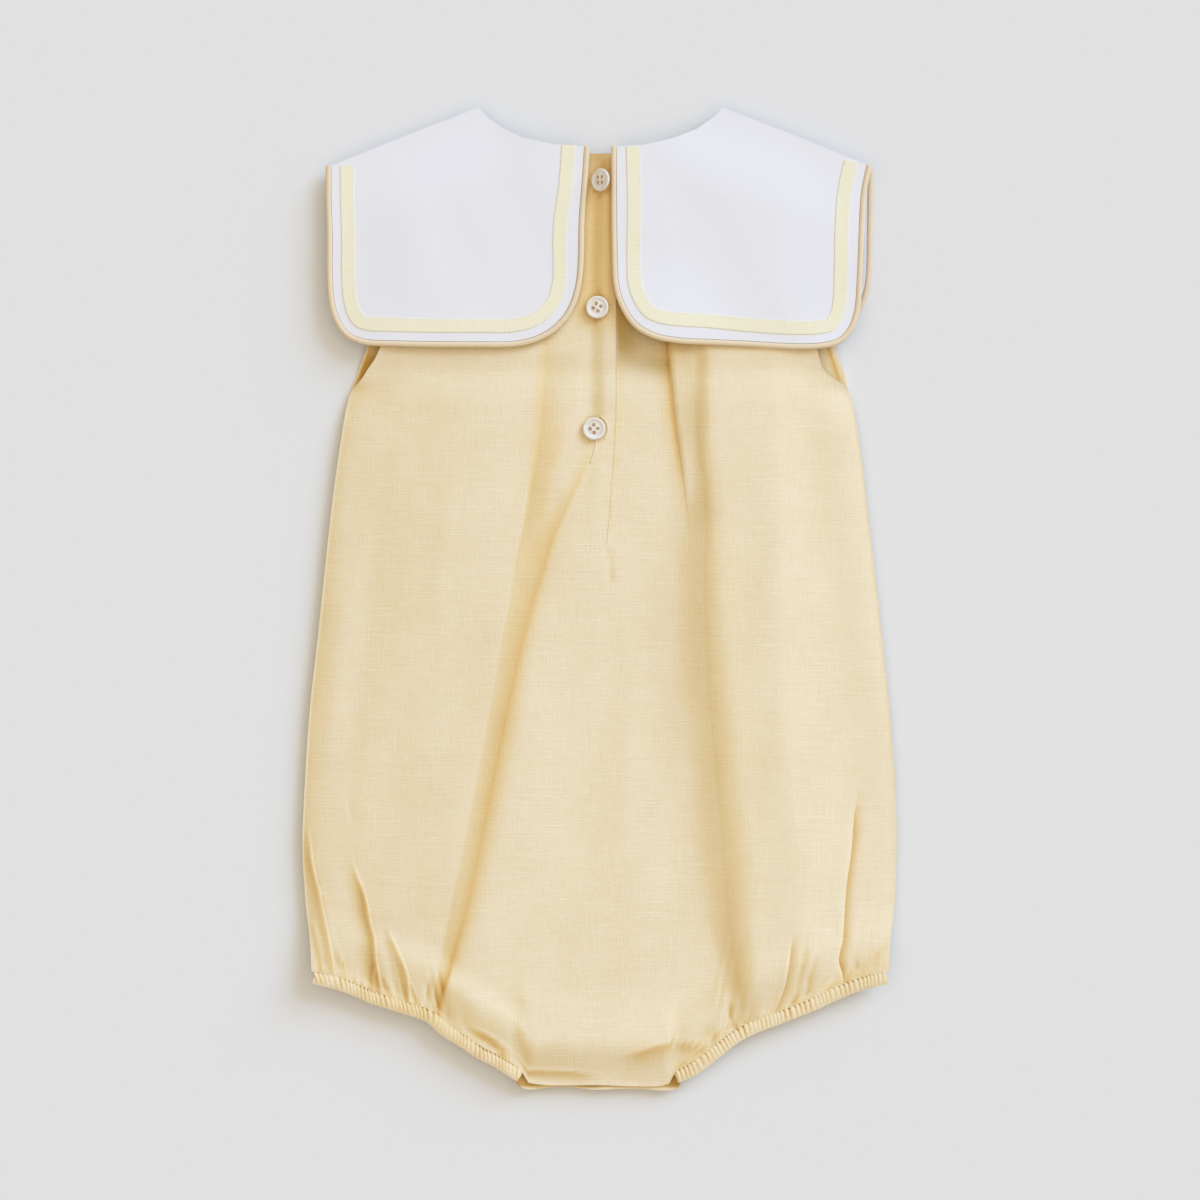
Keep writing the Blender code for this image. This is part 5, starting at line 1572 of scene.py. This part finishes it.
class ROMPER_OT_back(bpy.types.Operator):
    """Makes the back panel with its slit, pleats and gathers, and the placket's underlap"""
    bl_idname = "romper.back"
    bl_label = "Back of the romper"

    def execute(self, context):
        finish_library(context)
        wall = context.scene.romper_sizes.linen_wall / MM
        left, right = EDGE["back_left"], EDGE["back_right"]
        line = {**FOLD, **GRID}

        def beside(name, shift):
            return lambda y: line[name](y) + shift

        keys_between = [
            (left, 7), (line["left_a"], 3), (beside("left_a", 1.1), 14),
            (beside("left_b", -5), 7), (line["left_b"], 3), (beside("left_b", 1.2), 8),
            (beside("left_c", -4), 5), (line["left_c"], 3), (beside("left_c", 1.2), 14),
            (beside("left_pleat", -3), 2), (beside("left_pleat", -EDGE_TURN), 3),
            (line["left_pleat"], 8),
            (lambda y: mix(line["left_pleat"](y), line["left_core"](y), 0.5), 9),
            (line["left_core"], 6),
            (lambda y: mix(line["left_core"](y), line["left_crotch"](y), 0.4), 6),
            (line["left_crotch"], 10), (line["slit"], 10), (line["right_crotch"], 7),
            (beside("right_tuck", -3), 5), (line["right_tuck"], 3),
            (beside("right_tuck", EDGE_TURN), 6), (line["step_core"], 7),
            (line["right_step"], 12), (beside("right_a", -1), 3), (line["right_a"], 6),
            (beside("right_a", 5), 10), (beside("right_b", -1), 3), (line["right_b"], 6),
            (beside("right_b", 5), 10), (right, 0)]
        keys = [key for key, _ in keys_between]
        between = [count for _, count in keys_between[:-1]]
        places = key_places(between)
        slit_column = sum(between[:keys.index(line["slit"])])
        row_count = 230
        rows = 1 - (1 - np.linspace(0, 1, row_count + 1)) ** 1.2
        xs, ys = body_grid(keys, places, BACK_TOP_LINE, BACK_BOTTOM_LINE, rows)
        slit_rows = int((ys[slit_column] > SLIT_END).sum())
        free = back_under_z(xs, ys)
        lapped = lap_rise(xs, ys)
        # Painted shade from slopes and hollows, by the collar and in the folds, and painted
        # shadow
        warmth = (painted_slope_shade(xs, ys, free + lapped) + painted_collar_shade(xs, ys)
                  + painted_fold_shade(xs, ys))
        dusk = painted_shadow_amount(xs, ys)

        def place(column, row, side):
            x, y = xs[column, row], ys[column, row]
            z = free[column, row] + np.where(side < 1, lapped[column, row], 0.0)
            return (x + side * SLIT_HALF_GAP, y, z, x + BACK_CLOTH, y, warmth[column, row],
                    dusk[column, row])

        mesh = grid_mesh("linen_back", len(places) - 1, row_count, place,
                         (slit_column, slit_rows))
        back = add_piece("linen_back", mesh, LINEN, ["back_panel"])
        add_wall(back, wall, bevel=0.16)
        underlap = self.add_underlap(wall)
        self.add_stitches()
        return {"FINISHED"}

    def add_underlap(self, wall):
        """The strip beneath the buttoned edge, held closer where the buttons are."""
        columns, rows = 16, 150

        def place(column, row, _):
            y = mix(UNDERLAP_TOP, UNDERLAP_FOOT, row / rows)
            x = FOLD["slit"](y) - SEAM_GAP - UNDERLAP_WIDTH * (1 - column / columns)
            drop = mix(UNDERLAP_DROP, UNDERLAP_BUTTONED_DROP, buttoned(y))
            return x, y, back_under_z(x, y) - drop, x + UNDERLAP_CLOTH, y

        return add_cloth("linen_underlap", columns, rows, place, LINEN, "placket_underlap", wall)

    def add_stitches(self):
        """Two stitch rows across the placket's foot, the loose thread end and a thread ring."""
        runs = []
        for y in PLACKET_STITCH_ROWS:
            x = np.linspace(*PLACKET_STITCH_ENDS, 26)
            line = lifted(np.column_stack([x, np.full(len(x), y)]),
                          lambda x, y: back_top_z(x, y) + PLACKET_STITCH_LIFT)
            runs += stitches_along(line, PLACKET_STITCH_PITCH)
        mesh = stitch_mesh("thread_placket", runs, PLACKET_STITCH_LENGTH, PLACKET_STITCH_RADIUS)
        stitches = add_piece("thread_placket", mesh, LINEN_THREAD)
        share = np.linspace(0, 1, 15)[:, None]
        end = mix(*np.array(LOOSE_THREAD), share)
        end[:, 0] += LOOSE_THREAD_BOW * np.sin(math.pi * share[:, 0])
        angle = np.radians(np.linspace(*THREAD_RING_TURN, 25))
        ring = np.column_stack([BUTTONS[2].x + THREAD_RING_RADIUS * np.cos(angle),
                                BUTTONS[2].y + THREAD_RING_RADIUS * np.sin(angle)])
        bm = bmesh.new()
        for path in (end, ring):
            path = lifted(path, lambda x, y: back_top_z(x, y) + THREAD_LIFT)
            part = tube_mesh("thread_part", path, THREAD_WIDTH, THREAD_HEIGHT, 6)
            bm.from_mesh(part)
            bpy.data.meshes.remove(part)
        return [stitches, add_piece("thread_ends", mesh_from("thread_ends", bm), LINEN_THREAD)]


class ROMPER_OT_casings(bpy.types.Operator):
    """Makes the gathered elastic casings of the back leg hems"""
    bl_idname = "romper.casings"
    bl_label = "Leg casings"

    def execute(self, context):
        finish_library(context)
        for hem in HEMS:
            self.add_casing(hem, context.scene.romper_sizes.casing_ribs)
        return {"FINISHED"}

    def add_casing(self, hem, ribs):
        """The back half of a leg casing, with a groove between each two ribs."""
        columns, rows = ribs * RIB_COLUMNS, 12
        middle = resample(offset_line(hem.line, CASING_WIDTH / 2), columns)
        inner, outer, runs = strip_edges(middle, CASING_WIDTH)
        wobble = (0.28 * wander(runs, hem.seed, 2.3 * hem.seed)
                  + 0.12 * np.sin(runs / 1.9 + hem.seed))
        phase = (runs / (runs[-1] / ribs) + wobble) % 1.0
        strength = 0.7 + 0.3 * np.sin(runs / 5.3 + hem.seed)
        smoother = bell(middle[:, 0] - SMOOTH_STRETCH[0], SMOOTH_STRETCH[1])
        strength = strength * (1 - SMOOTH_STRETCH_LOSS * smoother)
        groove = strength * bell(phase - 0.5, RIB_HALF_WIDTH)
        # More painted shade over one stretch of the casing
        in_shaded_stretch = bell(middle[:, 0] - SHADED_STRETCH[0], SHADED_STRETCH[1])
        stretch_shade = LEAST_STRETCH_SHADE + MOST_STRETCH_SHADE * in_shaded_stretch

        def place(column, row, _):
            share = row / rows
            from_middle = 2 * share - 1
            point = mix(inner[column], outer[column], share[:, None])
            out = (outer[column] - inner[column]) / CASING_WIDTH
            point = point - out * (RIB_EDGE_DRAW * groove[column] * from_middle)[:, None]
            x, y = point[:, 0], point[:, 1]
            arch = CASING_ARCH * (1 - np.abs(from_middle) ** 2.2)
            slanted_run = runs[column] + hem.rib_slant * (share - 0.5)
            cut_in = (np.interp(slanted_run, runs, groove)
                      * mix(0.15, 1, 1 - rise(share, 0.45, 0.5)))
            # Painted shade and painted shadow in the grooves between the ribs
            shade = cut_in * (0.75 + 0.35 * np.sin(runs[column] / 1.7 + 2 * hem.seed))
            z = CASING_LEVEL + arch - RIB_DEPTH * cut_in * smooth(share * 8)
            z = np.maximum(z, CASING_LEVEL) + casing_lift(x, y)
            return (x, y, z, runs[column], share * CASING_WIDTH,
                    RIB_PAINTED_SHADE * shade + stretch_shade[column], RIB_PAINTED_SHADOW * shade)

        add_cloth(f"linen_casing_{hem.side}_back", columns, rows, place, LINEN,
                  f"leg_casing_{hem.side}_back", 1.0, bevel=0.1)


class ROMPER_OT_collar(bpy.types.Operator):
    """Makes the front collar and the two back wings with piping, ribbon and stitches"""
    bl_idname = "romper.collar"
    bl_label = "Sailor collar"

    def execute(self, context):
        finish_library(context)
        sizes = context.scene.romper_sizes
        wall = sizes.collar_wall / MM
        pitch = sizes.stitch_pitch / MM
        self.make_front(wall, pitch)
        self.make_wing("left", LEFT_WING, LEFT_WING_TOP, LEFT_WING_CORNERS, LEFT_WING_TOP[:3],
                       wall, pitch)
        self.make_wing("right", RIGHT_WING, RIGHT_WING_TOP, RIGHT_WING_CORNERS,
                       RIGHT_WING_TOP[-3:], wall, pitch)
        return {"FINISHED"}

    def make_front(self, wall, pitch):
        """The front collar, flat on the surface, with its piping and a row of stitches."""
        columns, rows = 100, 44
        points = collar_grid(FRONT_COLLAR, FRONT_COLLAR_TOP, FRONT_COLLAR_CORNERS, columns, rows)

        def place(column, row, _):
            x, y = points[column, row, 0], points[column, row, 1]
            return x, y, 0 * x, x, y

        front = add_cloth("cotton_front_collar", columns, rows, place, COTTON, "front_collar",
                          wall)
        edge = smooth_line(FRONT_COLLAR)
        path = resample(offset_line(edge, PIPING_WIDTH / 2), 300)
        path = lifted(path, lambda x, y: FLAT_PIPING_HEIGHT / 2 + FLAT_PIPING_LIFT + 0 * x)
        mesh = tube_mesh("cotton_front_piping", path, PIPING_WIDTH, FLAT_PIPING_HEIGHT)
        piping = add_piece("cotton_front_piping", mesh, PIPING, ["piping_front"])
        path = resample(offset_line(edge, PIPING_WIDTH + COLLAR_STITCH_INSET), 400)
        path = lifted(path, lambda x, y: wall + TRIM_GAP + 0 * x)
        mesh = stitch_mesh("thread_front_collar", stitches_along(path, pitch),
                           pitch * COLLAR_STITCH_SHARE, COLLAR_STITCH_RADIUS)
        stitches = add_piece("thread_front_collar", mesh, COTTON_THREAD)

    def make_wing(self, side, outline, top, corners, shoulder, wall, pitch):
        """A back wing on the body, with its piping, its ribbon and the ribbon's stitches."""
        columns, rows, steps = 110, 80, 360
        points = collar_grid(outline, top, corners, columns, rows)
        shoulder = np.array(shoulder, float)

        def above_body(height):
            return lambda x, y: wing_under_z(x, y, shoulder) + height

        def place(column, row, _):
            x, y = points[column, row, 0], points[column, row, 1]
            return x, y, wing_under_z(x, y, shoulder), x, y

        wing = add_cloth(f"cotton_wing_{side}", columns, rows, place, COTTON,
                         f"collar_wing_{side}", wall)

        edge = smooth_line(outline)
        path = lifted(resample(offset_line(edge, PIPING_WIDTH / 2), steps),
                      above_body(WING_PIPING_LIFT))
        mesh = tube_mesh(f"cotton_piping_{side}", path, PIPING_WIDTH, PIPING_HEIGHT, 14)
        piping = add_piece(f"cotton_piping_{side}", mesh, PIPING, [f"piping_{side}"])

        inset = PIPING_WIDTH + WHITE_MARGIN + RIBBON_WIDTH / 2
        middle = resample(offset_line(edge, inset), steps)
        for stray in RIBBON_STRAYS:
            away = np.hypot(middle[:, 0] - stray.x, middle[:, 1] - stray.y)
            middle = middle + near(away, stray.reach)[:, None] * (stray.shift_x, stray.shift_y)
        inner, outer, runs = strip_edges(middle, RIBBON_WIDTH)
        ribbon_rows = 8

        def ribbon_place(column, row, _):
            share = row / ribbon_rows
            point = mix(inner[column], outer[column], share[:, None])
            x, y = point[:, 0], point[:, 1]
            z = above_body(wall + TRIM_GAP)(x, y)
            return x, y, z, runs[column], (share - 0.5) * RIBBON_WIDTH

        ribbon = add_cloth(f"ribbon_strip_{side}", steps, ribbon_rows, ribbon_place, RIBBON,
                           f"ribbon_{side}", RIBBON_WALL, bevel=0.1)

        stitches = []
        for way in (-1, 1):
            line = offset_line(middle, way * (RIBBON_WIDTH / 2 - RIBBON_STITCH_INSET))
            line = lifted(line, above_body(wall + TRIM_GAP + RIBBON_WALL))
            stitches += stitches_along(line, pitch)
        mesh = stitch_mesh(f"thread_ribbon_{side}", stitches, pitch * RIBBON_STITCH_SHARE,
                           RIBBON_STITCH_RADIUS)
        thread = add_piece(f"thread_ribbon_{side}", mesh, RIBBON)


class ROMPER_OT_buttons(bpy.types.Operator):
    """Makes the three buttons with their thread"""
    bl_idname = "romper.buttons"
    bl_label = "Buttons"

    def execute(self, context):
        finish_library(context)
        for index, spot in enumerate(BUTTONS):
            self.make_button(f"button_{index + 1}", spot)
        return {"FINISHED"}

    def make_button(self, node, spot):
        """One button on the placket, leaning towards -X by its tilt, with thread in its holes."""
        tilt = math.radians(spot.tilt)
        rise_at_edge = BUTTON_RADIUS * math.sin(tilt)
        offsets = [(dx, dy) for dx in BUTTON_REST for dy in BUTTON_REST]
        ground = max(float(back_top_z(spot.x + dx, spot.y + dy)) for dx, dy in offsets)
        height = ground + BUTTON_CLEARANCE + rise_at_edge
        lean = Vector((-math.sin(tilt), 0, math.cos(tilt)))
        home = (Matrix.Translation(MM * Vector((spot.x, spot.y, height)))
                @ lean.to_track_quat("Z", "Y").to_matrix().to_4x4())
        blank = add_object(f"{node}_blank", self.blank_mesh(f"{node}_blank"))
        drill_mesh = self.pins_mesh(f"{node}_drill", spot.turn, 24, 0, 8,
                                    (BUTTON_HOLE_RADIUS, BUTTON_HOLE_RADIUS), Matrix())
        drill = add_object(f"{node}_drill", drill_mesh)
        holes = blank.modifiers.new("holes", "BOOLEAN")
        holes.object = drill
        holes.operation = "DIFFERENCE"
        holes.solver = "EXACT"
        bpy.context.view_layer.update()
        shaped = bpy.data.meshes.new_from_object(
            blank.evaluated_get(bpy.context.evaluated_depsgraph_get()))
        shaped.materials.clear()
        for temporary in (blank, drill):
            bpy.data.objects.remove(temporary)
        shaped.transform(home)
        shaped.name = f"resin_{node}"
        add_piece(f"resin_{node}", shaped, BUTTON, [node])
        shaped.set_sharp_from_angle(angle=math.radians(BUTTON_SHARP_ANGLE))
        mesh = self.pins_mesh(f"thread_{node}", spot.turn, 16, 0.7, 1.1,
                              (0.92 * BUTTON_HOLE_RADIUS, 0.7 * BUTTON_HOLE_RADIUS), home)
        add_piece(f"thread_{node}", mesh, BUTTON_THREAD)

    def blank_mesh(self, name):
        """The button's profile, turned about its axis."""
        bm = bmesh.new()
        verts = [bm.verts.new((MM * radius, 0, MM * height)) for radius, height in BUTTON_PROFILE]
        edges = [bm.edges.new(pair) for pair in zip(verts, verts[1:])]
        bmesh.ops.spin(bm, geom=verts + edges, cent=(0, 0, 0), axis=(0, 0, 1),
                       angle=2 * math.pi, steps=64, use_merge=True)
        bmesh.ops.remove_doubles(bm, verts=bm.verts, dist=0.001 * MM)
        bmesh.ops.recalc_face_normals(bm, faces=bm.faces)
        return mesh_from(name, bm)

    def pins_mesh(self, name, turn, segments, height, depth, radii, home):
        """A round pin in each hole of a button, to cut the hole or to fill it with thread."""
        bm = bmesh.new()
        for hole in range(BUTTON_HOLES):
            angle = math.radians(360 / BUTTON_HOLES * hole + turn)
            centre = MM * Vector((BUTTON_HOLE_SPACING * math.cos(angle),
                                  BUTTON_HOLE_SPACING * math.sin(angle), height))
            bmesh.ops.create_cone(bm, cap_ends=True, segments=segments, depth=depth * MM,
                                  radius1=radii[0] * MM, radius2=radii[1] * MM,
                                  matrix=home @ Matrix.Translation(centre))
        return mesh_from(name, bm)


class ROMPER_OT_stage(bpy.types.Operator):
    """Makes the paper floor, the soft lights and the camera above the romper"""
    bl_idname = "romper.stage"
    bl_label = "Stage"

    def execute(self, context):
        scene = context.scene
        stage = scene.romper_stage
        self.add_floor(scene.romper_colours.floor)
        sun = self.add_sun("main_light", stage.sun_strength, stage.sun_softness, COOL_LIGHT)
        azimuth, elevation = stage.sun_azimuth, stage.sun_elevation
        towards = Vector((math.cos(azimuth) * math.cos(elevation),
                          math.sin(azimuth) * math.cos(elevation), math.sin(elevation)))
        sun.rotation_mode = "QUATERNION"
        sun.rotation_quaternion = towards.to_track_quat("Z", "Y")
        self.add_sun("overhead_light", stage.overhead_strength,
                     math.radians(OVERHEAD_SOFTNESS), WARM_LIGHT)

        world = bpy.data.worlds.new("studio")
        world.use_nodes = True
        background = world.node_tree.nodes["Background"]
        background.inputs["Color"].default_value = (*WARM_LIGHT, 1)
        background.inputs["Strength"].default_value = stage.fill_strength
        scene.world = world

        lens = bpy.data.cameras.new("camera")
        lens.lens = stage.lens
        lens.sensor_width = 36.0
        lens.clip_start = 0.05
        lens.clip_end = 20.0
        camera = add_object("camera", lens)
        camera.location = (CAMERA_SHIFT * MM, -CAMERA_SHIFT * MM, stage.camera_height)
        scene.camera = camera
        scene.view_settings.view_transform = "Standard"
        return {"FINISHED"}

    def add_floor(self, colour):
        bm = bmesh.new()
        bmesh.ops.create_grid(bm, x_segments=2, y_segments=2, size=FLOOR_HALF_SIDE)
        bmesh.ops.translate(bm, verts=bm.verts, vec=(0, 0, -FLOOR_DEPTH * MM))
        floor = add_object("floor", mesh_from("floor", bm))
        floor.data.materials.append(floor_material("Studio paper", colour))

    def add_sun(self, name, strength, softness, colour):
        """A light from straight above, as wide as the angle of its softness."""
        light = bpy.data.lights.new(name, "SUN")
        light.energy = strength
        light.angle = softness
        light.color = colour
        return add_object(name, light)


class ROMPER_PT_panel(bpy.types.Panel):
    """Lists the romper's settings and the steps that make it"""
    bl_label = "Baby romper"
    bl_idname = "ROMPER_PT_panel"
    bl_space_type = "VIEW_3D"
    bl_region_type = "UI"
    bl_category = "Romper"

    def draw(self, context):
        layout = self.layout
        for operator in OPERATORS:
            layout.operator(operator.bl_idname)
        for group in (context.scene.romper_sizes, context.scene.romper_colours,
                      context.scene.romper_stage):
            for name in group.__annotations__:
                layout.prop(group, name)


SETTINGS = (RomperSizes, RomperColours, RomperStage)
OPERATORS = (ROMPER_OT_front, ROMPER_OT_back, ROMPER_OT_casings, ROMPER_OT_collar,
             ROMPER_OT_buttons, ROMPER_OT_stage)


def register():
    for item in SETTINGS + OPERATORS + (ROMPER_PT_panel,):
        bpy.utils.register_class(item)
    bpy.types.Scene.romper_sizes = bpy.props.PointerProperty(type=RomperSizes)
    bpy.types.Scene.romper_colours = bpy.props.PointerProperty(type=RomperColours)
    bpy.types.Scene.romper_stage = bpy.props.PointerProperty(type=RomperStage)


def unregister():
    del bpy.types.Scene.romper_stage
    del bpy.types.Scene.romper_colours
    del bpy.types.Scene.romper_sizes
    for item in reversed(SETTINGS + OPERATORS + (ROMPER_PT_panel,)):
        bpy.utils.unregister_class(item)


def make_romper():
    register()
    for operator in ("front", "back", "casings", "collar", "buttons", "stage"):
        getattr(bpy.ops.romper, operator)()


if __name__ == "__main__":
    make_romper()
